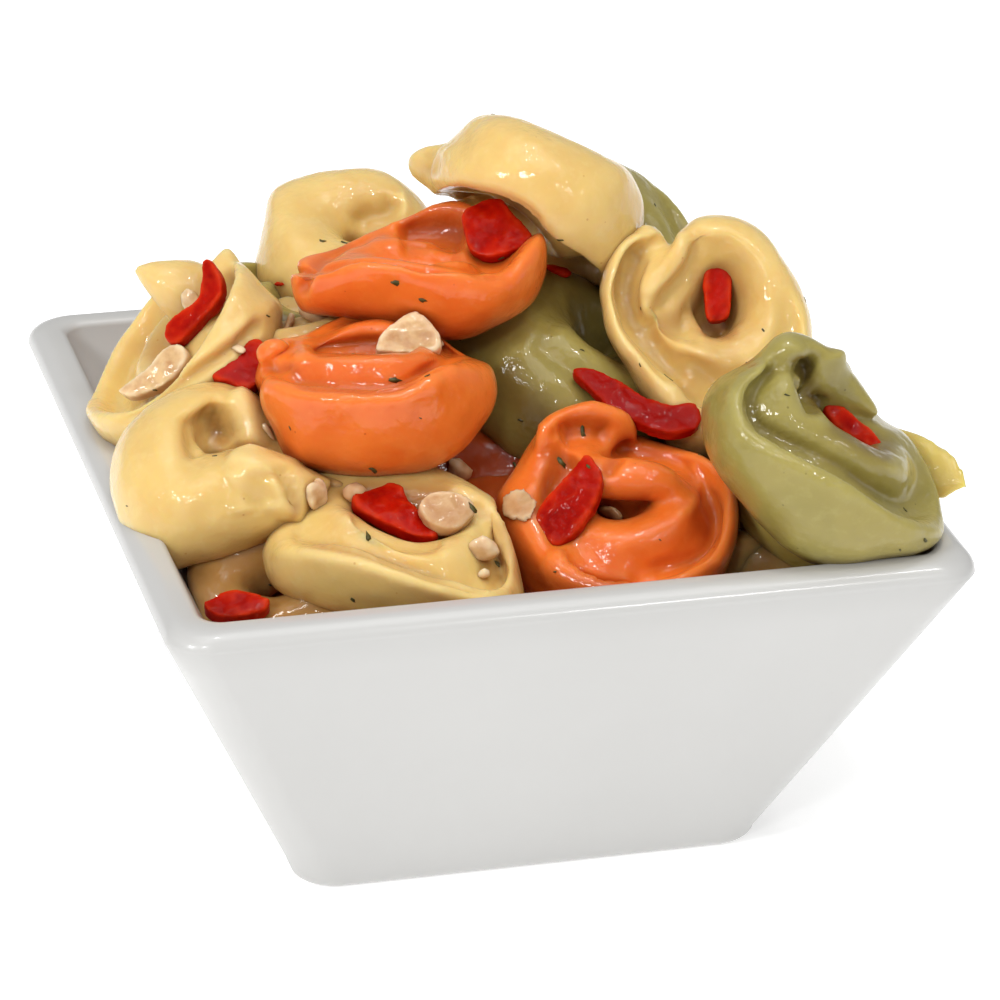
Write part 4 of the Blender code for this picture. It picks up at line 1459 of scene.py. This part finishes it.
                 Stroke(((530, 338), (570, 366), (610, 396)), 1.6, -0.8)),
        stains_and_shade=(Stroke(((498, 360), (512, 392), (535, 418), (565, 440)), 3.2, 0.8, 0.1),)),
    "spinach_back": PastaRing(
        Dough.SPINACH, (26.6, 25.3, 65.0), -37, 34, 60, brim=0.5,
        pins=((640, 160, 634, 166), (665, 172, 650, 178), (690, 190, 668, 195),
              (713, 213, 686, 221), (640, 210, 640, 212), (660, 235, 655, 238))),
    "spinach_left": PastaRing(
        Dough.SPINACH, (-21.1, 19.8, 58.0), 14, 17, 145, size=0.85, brim=0.5),
    "egg_far_right": PastaRing(
        Dough.OLIVE, (39.5, -23.0, 52.0), -41, 48, -59, size=0.85, brim=0.8, out=(1, 1),
        pinch=(0.3, 0.5),
        folds=(Fold(((-0.6, 3.7, 7.7), (-0.5, 4.3, 9.0), (1.9, 6.6, 13.3), (4.8, 8.5, 16.1),
                     (7.3, 10.7, 18.1)), (3.0, 3.4, 3.0, 2.5, 0.5), 0.45),),
        pins=((959, 480, 965, 483), (945, 482, 946, 495), (930, 480, 930, 492),
              (930, 440, 931, 441), (947, 456, 951, 459), (900, 432, 900, 433))),
    # These deep rings are painted dark all over: painted shade for where they lie deep in the
    # heap, with some dressing stain.
    "tomato_deep": PastaRing(
        Dough.TOMATO, (1.8, -3.7, 47.0), 26, 13, 135, brim=0.8, soak_and_shade=0.9,
        grabs=(Grab((505, 450), (0, 0, -7.0), 13.0),)),
    "egg_deep": PastaRing(Dough.EGG, (30.0, -19.5, 40.0), -25, 9, -175, brim=0.8, soak_and_shade=0.6),
    "egg_corner": PastaRing(
        Dough.EGG, (-33.0, -25.4, 42.0), -128, 35, -150, size=0.9, brim=0.8, soak_and_shade=0.7,
        grabs=(Grab((378, 520), (0, 0, -9.0), 9.0),)),
    "egg_middle": PastaRing(Dough.EGG, (27.6, 1.6, 46.0), -73, 23, -42, brim=0.8, soak_and_shade=0.6),
    "egg_hidden": PastaRing(
        Dough.EGG, (-21.6, 13.2, 59.0), 131, 15, -39, size=0.9, brim=0.8, soak_and_shade=0.3),
    "egg_far": PastaRing(Dough.EGG, (4.0, 31.0, 50.0), 80, 30, 40, brim=0.9),
    "tomato_far": PastaRing(Dough.TOMATO, (33.0, 34.0, 50.0), 40, 35, -60, brim=0.9),
    "spinach_side": PastaRing(
        Dough.SPINACH, (33.0, 13.0, 51.0), 10, 30, 120, size=0.95, brim=0.9),
    "tomato_far_left": PastaRing(Dough.TOMATO, (-20.0, 26.0, 46.0), 120, 25, 0, brim=0.9),
    "egg_far_corner": PastaRing(
        Dough.EGG, (-28.5, 29.0, 34.0), 20, -8, 60, size=0.9, brim=0.9),
}


@dataclass(frozen=True)
class Bit:
    """A cut piece of vegetable: its outline in its own plane, cut to a thickness."""
    place: tuple
    turn: float
    tip: float
    spin: float
    outline: tuple
    thick: float = 2.4
    bend: float = 0.0

    def build(self, bm: bmesh.types.BMesh) -> None:
        """Adds the bit to a bmesh, in the part's frame.

        Args:
            bm: The bmesh, in the part's frame.
        """
        count = 5 * len(self.outline)
        edge = closed_curve(np.array(self.outline, float), np.arange(count) / count)
        verts = [bm.verts.new((x, y, -0.5 * self.thick)) for x, y in edge]
        base = bm.faces.new(verts)
        grown = bmesh.ops.extrude_face_region(bm, geom=[base])
        top = [g for g in grown["geom"] if isinstance(g, bmesh.types.BMVert)]
        bmesh.ops.translate(bm, vec=(0.0, 0.0, self.thick), verts=top)
        for vert in verts + top:
            vert.co.z -= self.bend * (vert.co.x ** 2 + 0.4 * vert.co.y ** 2)
        move = stance(self.place, self.turn, self.tip, self.spin)
        bmesh.ops.transform(bm, matrix=move, verts=verts + top)


@dataclass
class Vegetables:
    """The bits of one vegetable, as one piece."""
    name: str
    finish: VegetableFinish
    slot: str
    bits: dict[str, Bit]
    scraps: tuple = ()
    stains_and_shade: tuple = ()
    voxel: float = 0.32
    waves: tuple = ((3.0, 0.35), (1.1, 0.1))

    def make(self, heap: "Heap") -> Piece:
        """Builds the bits and scraps.

        Args:
            heap: What the scraps lie on.

        Returns:
            The piece, not yet dressed.
        """
        def build(bm: bmesh.types.BMesh) -> None:
            """Adds every bit.

            Args:
                bm: The bmesh, in the part's frame.
            """
            for bit in self.bits.values():
                bit.build(bm)
            for k, scrap in enumerate(self.scraps):
                scrap.build(bm, heap, k + 1)
        piece = make_piece(self.name, build)
        fuse(piece, self.voxel, 5)
        ripple(piece, self.waves, 41)
        set_attribute(piece.data, "thin", ridges(piece.data, CUT_EDGE))
        set_attribute(piece.data, "stain_and_shade", stained_and_shaded(piece.data, 0.0, self.stains_and_shade))
        return piece

    def nodes(self) -> list[str]:
        """The solids that the bits stand for."""
        return [n for n in self.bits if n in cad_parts]


PEPPERS = {
    "red_pepper_top": Bit((2.5, 3.0, 78.8), -115, 39, 96, (
        (-5.0, 2.3), (-2.6, 4.1), (0.1, 4.6), (2.1, 1.9), (5.0, -1.7), (3.1, -3.4), (-1.5, -4.6),
        (-3.9, -2.7)), bend=0.02),
    "red_pepper_long": Bit((17.3, -15.6, 60.0), -98, 34, 88, (
        (-8.5, 4.9), (-4.7, 4.7), (-0.9, 2.0), (3.7, -0.9), (7.1, -0.5), (8.5, -2.8),
        (7.0, -4.9), (2.0, -4.9), (-3.1, -1.9), (-6.5, 1.7)), 2.2),
    "red_pepper_right": Bit((32.0, -3.0, 69.7), -106, 54, 92, (
        (-1.5, 3.9), (0.3, 4.2), (1.9, 3.1), (1.9, -1.1), (1.4, -3.9), (-1.4, -4.2),
        (-1.9, 0.0))),
    "red_pepper_near": Bit((4.5, -29.4, 52.9), -121, 47, 98, (
        (1.2, 6.2), (3.1, 5.3), (4.2, 2.8), (2.6, -2.2), (0.2, -5.5), (-1.9, -6.2),
        (-3.9, -4.2), (-4.2, -1.2), (-1.6, 2.0))),
    "red_pepper_spinach": Bit((40.6, -36.3, 62.8), -84, 45, 82, (
        (-4.0, 3.1), (-1.7, 3.4), (0.8, 1.3), (4.0, -2.3), (3.1, -3.4), (0.4, -1.8),
        (-2.4, 0.2)), 2.0),
    "red_pepper_cup": Bit((-19.0, -27.6, 52.7), -95, 28, 86, (
        (-5.4, 2.3), (-2.7, 3.6), (0.6, 4.3), (2.2, 1.5), (5.4, -3.7), (2.4, -4.3),
        (-1.4, -2.2), (-4.8, 0.1))),
    "red_pepper_left": Bit((-37.6, 8.0, 69.4), -135, 48, 104, (
        (-0.2, 5.5), (1.3, 6.0), (3.7, 2.2), (3.2, -0.1), (0.8, -3.6), (-1.7, -6.0),
        (-3.6, -5.6), (-3.7, -2.9), (-0.3, -0.4), (0.5, 1.9))),
    "red_pepper_gap": Bit((-34.2, -2.3, 64.1), -107, 38, 92, (
        (3.0, 3.6), (0.8, 3.3), (-3.6, -1.5), (-0.9, -3.0), (1.8, -3.6), (3.6, -0.6))),
    "red_pepper_corner": Bit((-41.2, -33.2, 44.0), -107, 28, 93, (
        (-4.4, 0.0), (-2.4, 1.7), (1.2, 2.1), (4.4, 0.5), (2.6, -1.4), (-1.9, -2.1))),
}

ONIONS = {
    "onion_top": Bit((-13.5, -11.4, 70.8), -107, 34, 92, (
        (-4.3, -2.7), (-2.6, 0.6), (0.8, 3.1), (2.9, 1.7), (4.3, -0.2), (3.8, -2.7),
        (-0.3, -3.1)), bend=0.03),
    "onion_left": Bit((-44.2, 4.8, 61.2), -133, 52, 103, (
        (-0.8, 0.3), (1.4, 3.4), (3.8, 3.5), (4.9, 1.6), (2.7, -1.6), (-1.8, -3.5),
        (-4.9, -2.6))),
    "onion_cup": Bit((-12.7, -30.5, 53.6), -90, 39, 85, (
        (-3.3, 1.8), (-0.6, 2.7), (2.6, 1.8), (3.6, -0.4), (0.9, -2.7), (-2.3, -2.2),
        (-3.6, -0.4))),
}


@dataclass
class Dish:
    """The square porcelain dish: sloping walls, a rounded rim and a flat base."""
    rim_side: float = 107.6
    base_side: float = 64.9
    height: float = 50.5
    wall: float = 5.8
    floor: float = 5.0
    corner: float = 5.4
    lip: float = 2.6
    edge: float = 1.2
    base_round: float = 1.8
    inner_round: float = 5.0
    inner_corner: float = 3.2
    sides: int = 240
    turned: float = 0.34
    steps: int = 7

    def outer_half(self, z: float) -> float:
        """Half width of the outside wall at a height."""
        share = (z - self.base_round) / (self.height - self.lip - self.base_round)
        return 0.5 * (self.base_side + (self.rim_side - self.base_side) * share)

    def profile(self) -> Loops:
        """Half width, height and corner radius of each loop, from the base's outside up.

        Returns:
            The loops.
        """
        rising = [0.5 * math.pi * k / (self.steps - 1) for k in range(self.steps)]
        top, edge = self.height - self.lip, self.height - self.edge
        foot = self.floor + self.inner_round

        def bend(half: float, z: float, wide: float, tall: float, angles: Sequence[float],
                 corner: float) -> Loops:
            """A rounded edge that starts or ends at a half width and a height."""
            return [(half + wide * (1.0 - math.cos(a)), z + tall * (1.0 - math.sin(a)), corner)
                    for a in angles]

        def wall(inset: float, start: float, end: float, count: int, corner: float) -> Loops:
            """The loops between two heights of a wall."""
            heights = [start + (end - start) * k / count for k in range(1, count)]
            return [(self.outer_half(z) - inset, z, corner) for z in heights]

        return [
            *bend(self.outer_half(self.base_round), 0.0, -self.base_round, self.base_round,
                  rising[::-1], self.corner),
            *wall(0.0, self.base_round, top, 10, self.corner),
            *bend(self.outer_half(top), self.height, -self.lip, -self.lip, rising, self.corner),
            *bend(self.outer_half(edge) - self.wall, self.height, self.edge, -self.edge,
                  rising[::-1], self.inner_corner),
            *wall(self.wall, edge, foot, 8, self.inner_corner),
            *bend(self.outer_half(foot) - self.wall, self.floor, -self.inner_round,
                  self.inner_round, rising, self.inner_corner)]

    def loop(self, bm: bmesh.types.BMesh, half: float, z: float, radius: float) -> list:
        """A level square with rounded corners.

        Args:
            bm: The bmesh it is added to.
            half: Half its side.
            z: Its height.
            radius: Its corners' radius.

        Returns:
            Its edges.
        """
        made = bmesh.ops.create_circle(bm, segments=self.sides, radius=1.0)["verts"]
        straight = 0.5 - 0.5 * self.turned
        for vert in made:
            a = math.atan2(vert.co.y, vert.co.x) % (2.0 * math.pi)
            quarter, share = divmod(a / (0.5 * math.pi), 1.0)
            if share < straight:
                x, y = half, (half - radius) * share / straight
            elif share > 1.0 - straight:
                x, y = (half - radius) * (1.0 - share) / straight, half
            else:
                t = 0.5 * math.pi * (share - straight) / self.turned
                x = half - radius + radius * math.cos(t)
                y = half - radius + radius * math.sin(t)
            for _ in range(int(quarter) % 4):
                x, y = -y, x
            vert.co = (x, y, z)
        return list({e for v in made for e in v.link_edges})

    def build(self, bm: bmesh.types.BMesh) -> None:
        """Adds the dish to a bmesh.

        Args:
            bm: The bmesh, in the part's frame.
        """
        loops = [self.loop(bm, half, z, radius) for half, z, radius in self.profile()]
        for low, high in zip(loops, loops[1:]):
            bmesh.ops.bridge_loops(bm, edges=low + high)
        for end in (loops[0], loops[-1]):
            bmesh.ops.contextual_create(bm, geom=end)

    def make(self) -> Piece:
        """Builds the dish.

        Returns:
            The piece, not yet dressed.
        """
        piece = make_piece("porcelain_dish", self.build)
        piece.data.set_sharp_from_angle(angle=math.radians(50.0))
        return piece


@dataclass
class SoakedCore:
    """What shows deep between the rings: more pasta and dressing, packed and wet, painted dark for
    the shade there.
    """
    middle: tuple = (-1.0, 6.0)
    levels: tuple = ((5.6, 26.0), (14.0, 32.0), (24.0, 36.5), (33.0, 40.0), (36.0, 38.0),
                     (41.0, 33.0), (45.0, 27.0), (48.0, 20.0), (50.0, 10.0))
    power: float = 4.5
    lean_from: float = 36.0
    lean_over: float = 14.0

    def build(self, bm: bmesh.types.BMesh) -> None:
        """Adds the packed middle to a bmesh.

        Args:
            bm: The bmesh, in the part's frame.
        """
        made = bmesh.ops.create_uvsphere(bm, u_segments=120, v_segments=70, radius=1.0)["verts"]
        heights, halves = np.array(self.levels).T
        for vert in made:
            x, y, z = vert.co
            a = math.atan2(y, x)
            share = 0.5 + math.asin(max(-1.0, min(1.0, z))) / math.pi
            height = heights[0] + (heights[-1] - heights[0]) * ease(np.array(share), 0.0, 1.0)
            half = float(np.interp(height, heights, halves)) * min(1.0, 6.0 * math.hypot(x, y))
            square = abs(math.cos(a)) ** self.power + abs(math.sin(a)) ** self.power
            radius = half * square ** (-1.0 / self.power)
            lean = max(0.0, (height - self.lean_from) / self.lean_over)
            vert.co = (radius * math.cos(a) + lean * self.middle[0],
                       radius * math.sin(a) + lean * self.middle[1], height)

    def make(self) -> Piece:
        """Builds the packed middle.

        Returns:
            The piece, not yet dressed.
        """
        piece = make_piece("soaked_core", self.build)
        ripple(piece, ((14.0, 2.0), (5.0, 0.8), (2.0, 0.25)), 77)
        # A stain_and_shade of 0.8 paints the core the dark soaked colour: dressing, and painted
        # shade deep in the gaps between the rings.
        for name, value in (("tone", 0.0), ("thin", 0.0), ("stain_and_shade", 0.8)):
            set_attribute(piece.data, name, value)
        return piece


@dataclass
class Shade:
    """Measures how closed in each point is, for painted shade and dressing stain in crevices."""
    rays: int
    reach: float = 12.0
    clear: float = 0.15

    def directions(self) -> np.ndarray:
        """Evenly spread rays over a half sphere about Z, denser near the pole.

        Returns:
            One unit vector for each ray.
        """
        k = np.arange(self.rays) + 0.5
        up = np.sqrt(1.0 - k / self.rays)
        turn = k * math.pi * (3.0 - math.sqrt(5.0))
        flat = np.sqrt(1.0 - up ** 2)
        return np.stack([flat * np.cos(turn), flat * np.sin(turn), up], 1)

    def measure(self, pieces: Sequence[Piece], around: Sequence[Piece]) -> None:
        """Stores each point's closeness as the attribute damp_and_shade, which darkens the colour
        there as painted shade and dressing stain.

        Args:
            pieces: The pieces to measure.
            around: Everything that can close them in, themselves included.
        """
        tree, reach, rays = skin_tree(around, 1.0), self.reach * MM, self.directions()
        for piece in pieces:
            here, outward = coordinates(piece.data), normals(piece.data)
            damp_and_shade = np.zeros(len(here))
            helper = np.where(np.abs(outward[:, :1]) < 0.8, (1.0, 0.0, 0.0), (0.0, 1.0, 0.0))
            side = np.cross(outward, helper)
            side /= np.maximum(np.linalg.norm(side, axis=1), 1e-9)[:, None]
            other_side = np.cross(outward, side)
            begin = here + outward * (self.clear * MM)
            for i in range(len(here)):
                fan = (rays[:, :1] * side[i] + rays[:, 1:2] * other_side[i]
                       + rays[:, 2:] * outward[i])
                origin, shut = Vector(begin[i]), 0.0
                for ray in fan:
                    hit = tree.ray_cast(origin, Vector(ray), reach)
                    if hit[0] is not None:
                        shut += 1.0 - 0.5 * hit[3] / reach
                damp_and_shade[i] = shut / self.rays
            damp_and_shade = blurred(piece.data, damp_and_shade, 0.6, 3)
            set_attribute(piece.data, "damp_and_shade", damp_and_shade)


class Heap:
    """The skins that small things can land on."""

    def __init__(self, pieces: Sequence[Piece]) -> None:
        """Gathers the pieces' faces.

        Args:
            pieces: What can be landed on.
        """
        self.tree = skin_tree(pieces, MM)

    def hit(self, start: Vector, way: Vector) -> "tuple[Vector, Vector] | None":
        """Where a line first meets the heap, and which way the heap faces there."""
        spot, normal, _, _ = self.tree.ray_cast(start, way)
        return None if spot is None else (spot, normal)

    def below(self, across: float, down: float) -> "tuple[Vector, Vector] | None":
        """What the line of sight through a pixel meets.

        Args:
            across: The pixel's distance from the left.
            down: Its distance from the top.

        Returns:
            The place and which way the heap faces there, or None.
        """
        eye = Vector(SIGHT.place)
        ahead = 500.0
        return self.hit(eye, (Vector(SIGHT.spot(across, down, ahead)) - eye).normalized())

    def dropped(self, aim: Vector, way: Vector) -> "tuple[Vector, Vector] | None":
        """What a thing meets that comes in from afar towards a point."""
        afar = 150.0
        return self.hit(aim - way * afar, way)


@dataclass(frozen=True)
class Scrap:
    """A small soft bit that lies where the photo shows it: a pixel and its size."""
    at: tuple
    size: tuple
    turn: float = 0.0
    sink: float = 0.25

    def build(self, bm: bmesh.types.BMesh, heap: Heap, seed: int) -> None:
        """Adds the scrap to a bmesh, in the part's frame.

        Args:
            bm: The bmesh.
            heap: What it lies on.
            seed: Which lumps it gets.
        """
        found = heap.below(*self.at)
        if found is None:
            return
        spot, normal = found
        made = bmesh.ops.create_icosphere(bm, subdivisions=3, radius=1.0)["verts"]
        shift = Vector([seed * apart for apart in LUMPS_APART])
        for vert in made:
            lump = 1.0 + 0.4 * noise.noise(vert.co * 1.1 + shift)
            lump += 0.25 * noise.noise(vert.co * 2.7 - shift)
            vert.co = Vector([c * s * lump for c, s in zip(vert.co, self.size)])
        middle = spot + normal * self.size[2] * (1.0 - 2.0 * self.sink)
        move = laid(middle, normal, -math.radians(self.turn))
        bmesh.ops.transform(bm, matrix=move, verts=made)


ONION_SCRAPS = (
    Scrap((357, 496), (1.7, 1.6, 1.3)), Scrap((477, 551), (2.0, 1.4, 1.9)),
    Scrap((483, 575), (0.9, 0.8, 0.8)), Scrap((519, 505), (2.7, 2.4, 0.4), 30.0, 0.5),
    Scrap((458, 470), (2.0, 1.5, 1.3), 20.0), Scrap((314, 316), (2.2, 1.1, 0.9), 25.0),
    Scrap((290, 326), (0.8, 2.4, 0.8), 15.0), Scrap((240, 350), (1.2, 0.8, 0.5), 10.0),
    Scrap((195, 303), (2.2, 1.5, 0.9), 50.0), Scrap((314, 494), (2.4, 2.0, 0.9), 60.0),
    Scrap((436, 345), (1.3, 0.9, 0.7), 20.0), Scrap((398, 352), (1.7, 0.9, 0.6), -10.0),
    Scrap((268, 432), (1.6, 0.8, 0.5), 40.0), Scrap((612, 512), (2.0, 0.8, 0.5), 0.0))
PEPPER_SCRAPS = (Scrap((557, 272), (1.9, 1.3, 0.7), 10.0), Scrap((280, 284), (1.3, 0.4, 0.3)))
# Painted shade on the long pepper, where the rings above shade it.
PEPPER_PAINTED_SHADE = (Stroke(((560, 365), (610, 398), (655, 418), (715, 420)), 3.5, 0.75, 0.01),)
ONION_STAINS = (Stroke(((488, 506), (519, 506), (552, 506)), 2.6, 0.6, 0.01),
                Stroke(((330, 496), (357, 496), (385, 496)), 2.0, 0.7, 0.01),
                Stroke(((405, 520), (445, 516), (490, 512)), 2.6, 0.55, 0.01),
                Stroke(((585, 512), (612, 512), (650, 512)), 2.0, 0.9, 0.01),
                Stroke(((435, 480), (458, 475), (485, 470)), 1.2, 0.5, 0.01))


@dataclass
class Herbs:
    """Flakes of dried herb that stick to the wet pasta.

    Those that the photo shows have a pixel, a length in pixels and a turn. More of them lie
    round the back, within a spread and between two levels, in millimetres.
    """
    shown: tuple = (
        (373, 470, 12, 60), (395, 283, 14, 5), (422, 300, 12, 20), (345, 243, 11, 10),
        (322, 241, 8, 10), (395, 380, 14, 10), (427, 376, 9, 40),
        (290, 428, 5, 60), (232, 251, 9, 70), (268, 316, 7, 20), (155, 390, 6, 30),
        (215, 456, 7, 10), (127, 506, 4, 0), (368, 537, 12, 70), (353, 600, 9, 60),
        (473, 508, 13, 50), (499, 565, 12, 50), (583, 433, 17, 75), (562, 463, 13, 50),
        (588, 466, 8, 40), (515, 465, 9, 60), (555, 572, 5, 0), (763, 330, 6, 60),
        (641, 309, 6, 80), (787, 395, 6, 10), (848, 358, 9, 80), (925, 540, 10, 60),
        (502, 258, 9, 170), (420, 418, 4, 30), (520, 420, 8, 10), (560, 240, 8, 0),
        (582, 350, 6, 10), (640, 365, 5, 60), (905, 510, 6, 40), (900, 550, 6, 70),
        (700, 455, 5, 20), (660, 540, 4, 40), (460, 340, 5, 30), (655, 205, 6, 70),
        (150, 545, 4, 20), (270, 585, 5, 50))
    hidden: int = 45
    seed: int = 5
    pixels: float = 7.5
    spread: float = 50.0
    levels: tuple = (48.0, 70.0)

    def make(self, heap: Heap) -> Piece:
        """Lays the flakes on the heap.

        Args:
            heap: What they land on.

        Returns:
            The piece, not yet dressed.
        """
        dice = random.Random(self.seed)

        def build(bm: bmesh.types.BMesh) -> None:
            """Adds every flake.

            Args:
                bm: The bmesh, in the part's frame.
            """
            for across, down, length, turn in self.shown:
                found = heap.below(across, down)
                if found is not None:
                    self.flake(bm, *found, 0.5 * length / self.pixels, math.radians(-turn), dice)
            made, eye = 0, Vector(SIGHT.place)
            while made < self.hidden:
                turn, lean = dice.uniform(0, 2 * math.pi), dice.uniform(0.0, 1.2)
                way = Vector((math.sin(lean) * math.cos(turn), math.sin(lean) * math.sin(turn),
                              -math.cos(lean)))
                wide = self.spread
                aim = Vector((dice.uniform(-wide, wide), dice.uniform(-wide, wide),
                              dice.uniform(*self.levels)))
                found = heap.dropped(aim, way)
                if found is None or found[0].z < self.levels[0]:
                    continue
                if max(map(abs, found[0].xy)) > wide:
                    continue
                if found[1].dot((eye - found[0]).normalized()) > 0.1:
                    continue
                self.flake(bm, *found, dice.uniform(0.3, 0.9), dice.uniform(0, 6.3), dice)
                made += 1
        return make_piece("herb_flakes", build)

    def flake(self, bm: bmesh.types.BMesh, spot: Vector, normal: Vector, long: float,
              turn: float, dice: random.Random) -> None:
        """Adds one torn flake.

        Args:
            bm: The bmesh.
            spot: Where it lies.
            normal: Which way the surface faces there.
            long: Half its length, in millimetres.
            turn: Which way it points, from the right of the view.
            dice: Seeded random numbers.
        """
        slim = long * dice.uniform(0.28, 0.5)
        made = bmesh.ops.create_circle(bm, cap_ends=True, segments=9, radius=1.0)["verts"]
        grown = bmesh.ops.extrude_face_region(bm, geom=[made[0].link_faces[0]])
        top = [g for g in grown["geom"] if isinstance(g, bmesh.types.BMVert)]
        bmesh.ops.translate(bm, vec=(0, 0, 1.0), verts=top)
        curl, shape = dice.uniform(-0.3, 0.3), {}
        for vert in made + top:
            key = (round(vert.co.x, 3), round(vert.co.y, 3))
            shape.setdefault(key, dice.uniform(0.55, 1.2))
            x, y = vert.co.x * long * shape[key], vert.co.y * slim * shape[key]
            vert.co = (x, y, (vert.co.z - 0.35) * 0.12 + curl * x * x)
        bmesh.ops.transform(bm, matrix=laid(spot, normal, turn), verts=made + top)


@dataclass
class Studio:
    """The white table, the lamps and the camera."""
    lamps: tuple = (
        # Name, place and width and height in metres, and watts.
        ("key", (-1.05, -0.65, 0.85), (0.3, 0.3), 7.2),
        ("top", (0.0, -0.2, 1.4), (1.1, 1.1), 6.2),
        ("spark", (0.05, -0.15, 1.3), (0.11, 0.11), 1.5),
        ("glint", (0.45, -0.35, 1.1), (0.08, 0.08), 1.0),
        ("gleam", (-0.45, -1.0, 0.95), (0.16, 0.16), 2.8),
        ("flash", (0.35, -1.0, 0.7), (0.1, 0.1), 1.1),
    )
    world: float = 0.38
    table_half: float = 6.0
    aim: tuple = (0.0, 0.0, 0.05)

    def build(self) -> None:
        """Sets up everything that isn't part of the dish."""
        self.table()
        self.camera()
        for name, place, size, watts in self.lamps:
            self.lamp(name, place, size, watts)
        scene = bpy.context.scene
        world = bpy.data.worlds.new("soft_room")
        world.use_nodes = True
        background = world.node_tree.nodes["Background"]
        background.inputs["Color"].default_value = (1.0, 1.0, 1.0, 1.0)
        background.inputs["Strength"].default_value = self.world
        scene.world = world
        scene.view_settings.view_transform = "Standard"
        scene.view_settings.look = "None"

    def table(self) -> None:
        """Lays the table top under the dish."""
        bm = bmesh.new()
        bmesh.ops.create_grid(bm, x_segments=2, y_segments=2, size=self.table_half)
        mesh = bpy.data.meshes.new("table_top")
        bm.to_mesh(mesh)
        bm.free()
        top = linked("table_top", mesh)
        mesh.materials.append(TABLE.material())

    def camera(self) -> None:
        """Stands the camera where the photo was taken from."""
        lens = bpy.data.cameras.new("camera")
        lens.lens, lens.sensor_width = SIGHT.lens, SIGHT.sensor
        lens.clip_start, lens.clip_end = 0.01, 20.0
        eye = linked("camera", lens)
        right, up = Vector(SIGHT.right), Vector(SIGHT.up)
        turn = Matrix((right, up, right.cross(up))).transposed()
        eye.matrix_world = Matrix.Translation(Vector(SIGHT.place) * MM) @ turn.to_4x4()
        bpy.context.scene.camera = eye

    def lamp(self, name: str, place: tuple, size: tuple, watts: float) -> None:
        """Hangs one soft lamp that looks at the heap.

        Args:
            name: Its name.
            place: Where it hangs, in metres.
            size: Its width and height, in metres.
            watts: Its power.
        """
        light = bpy.data.lights.new(name, "AREA")
        light.shape = "RECTANGLE"
        light.size, light.size_y = size
        light.energy = watts
        thing = linked(name, light)
        thing.location = place
        thing.rotation_mode = "QUATERNION"
        way = Vector(self.aim) - Vector(place)
        thing.rotation_quaternion = way.to_track_quat("-Z", "Y")


def main() -> None:
    """Builds the dressed dish, piece by piece, and the studio round it."""
    logging.basicConfig(level=logging.INFO, format="%(message)s")
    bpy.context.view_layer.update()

    dish = Dish().make()
    core = SoakedCore().make()
    rings = {name: ring.make(name + "_ring", k) for k, (name, ring) in enumerate(RINGS.items())}
    heap = Heap(list(rings.values()))
    peppers = Vegetables("red_pepper_bits", PEPPER, "pepper", PEPPERS, PEPPER_SCRAPS,
                         PEPPER_PAINTED_SHADE)
    onions = Vegetables("onion_bits", ONION, "onion", ONIONS, ONION_SCRAPS, ONION_STAINS)
    pepper_piece, onion_piece = peppers.make(heap), onions.make(heap)

    damp_and_shade = [core, *rings.values(), pepper_piece, onion_piece]
    Shade(RAYS).measure(damp_and_shade, damp_and_shade + [dish])
    herbs = Herbs().make(Heap([*rings.values(), pepper_piece, onion_piece]))

    dress(dish, GLAZE.material(), ["dish"])
    doughs = {dough: dough.value.material() for dough in Dough}
    dress(core, doughs[Dough.TOMATO], ["pasta_heap"])
    for name, piece in rings.items():
        dress(piece, doughs[RINGS[name].dough], ["pasta_heap"])
    for bits, piece in ((peppers, pepper_piece), (onions, onion_piece)):
        dress(piece, bits.finish.material(), bits.nodes())
    dress(herbs, HERB.material(), [])
    Studio().build()


if __name__ == "__main__":
    main()
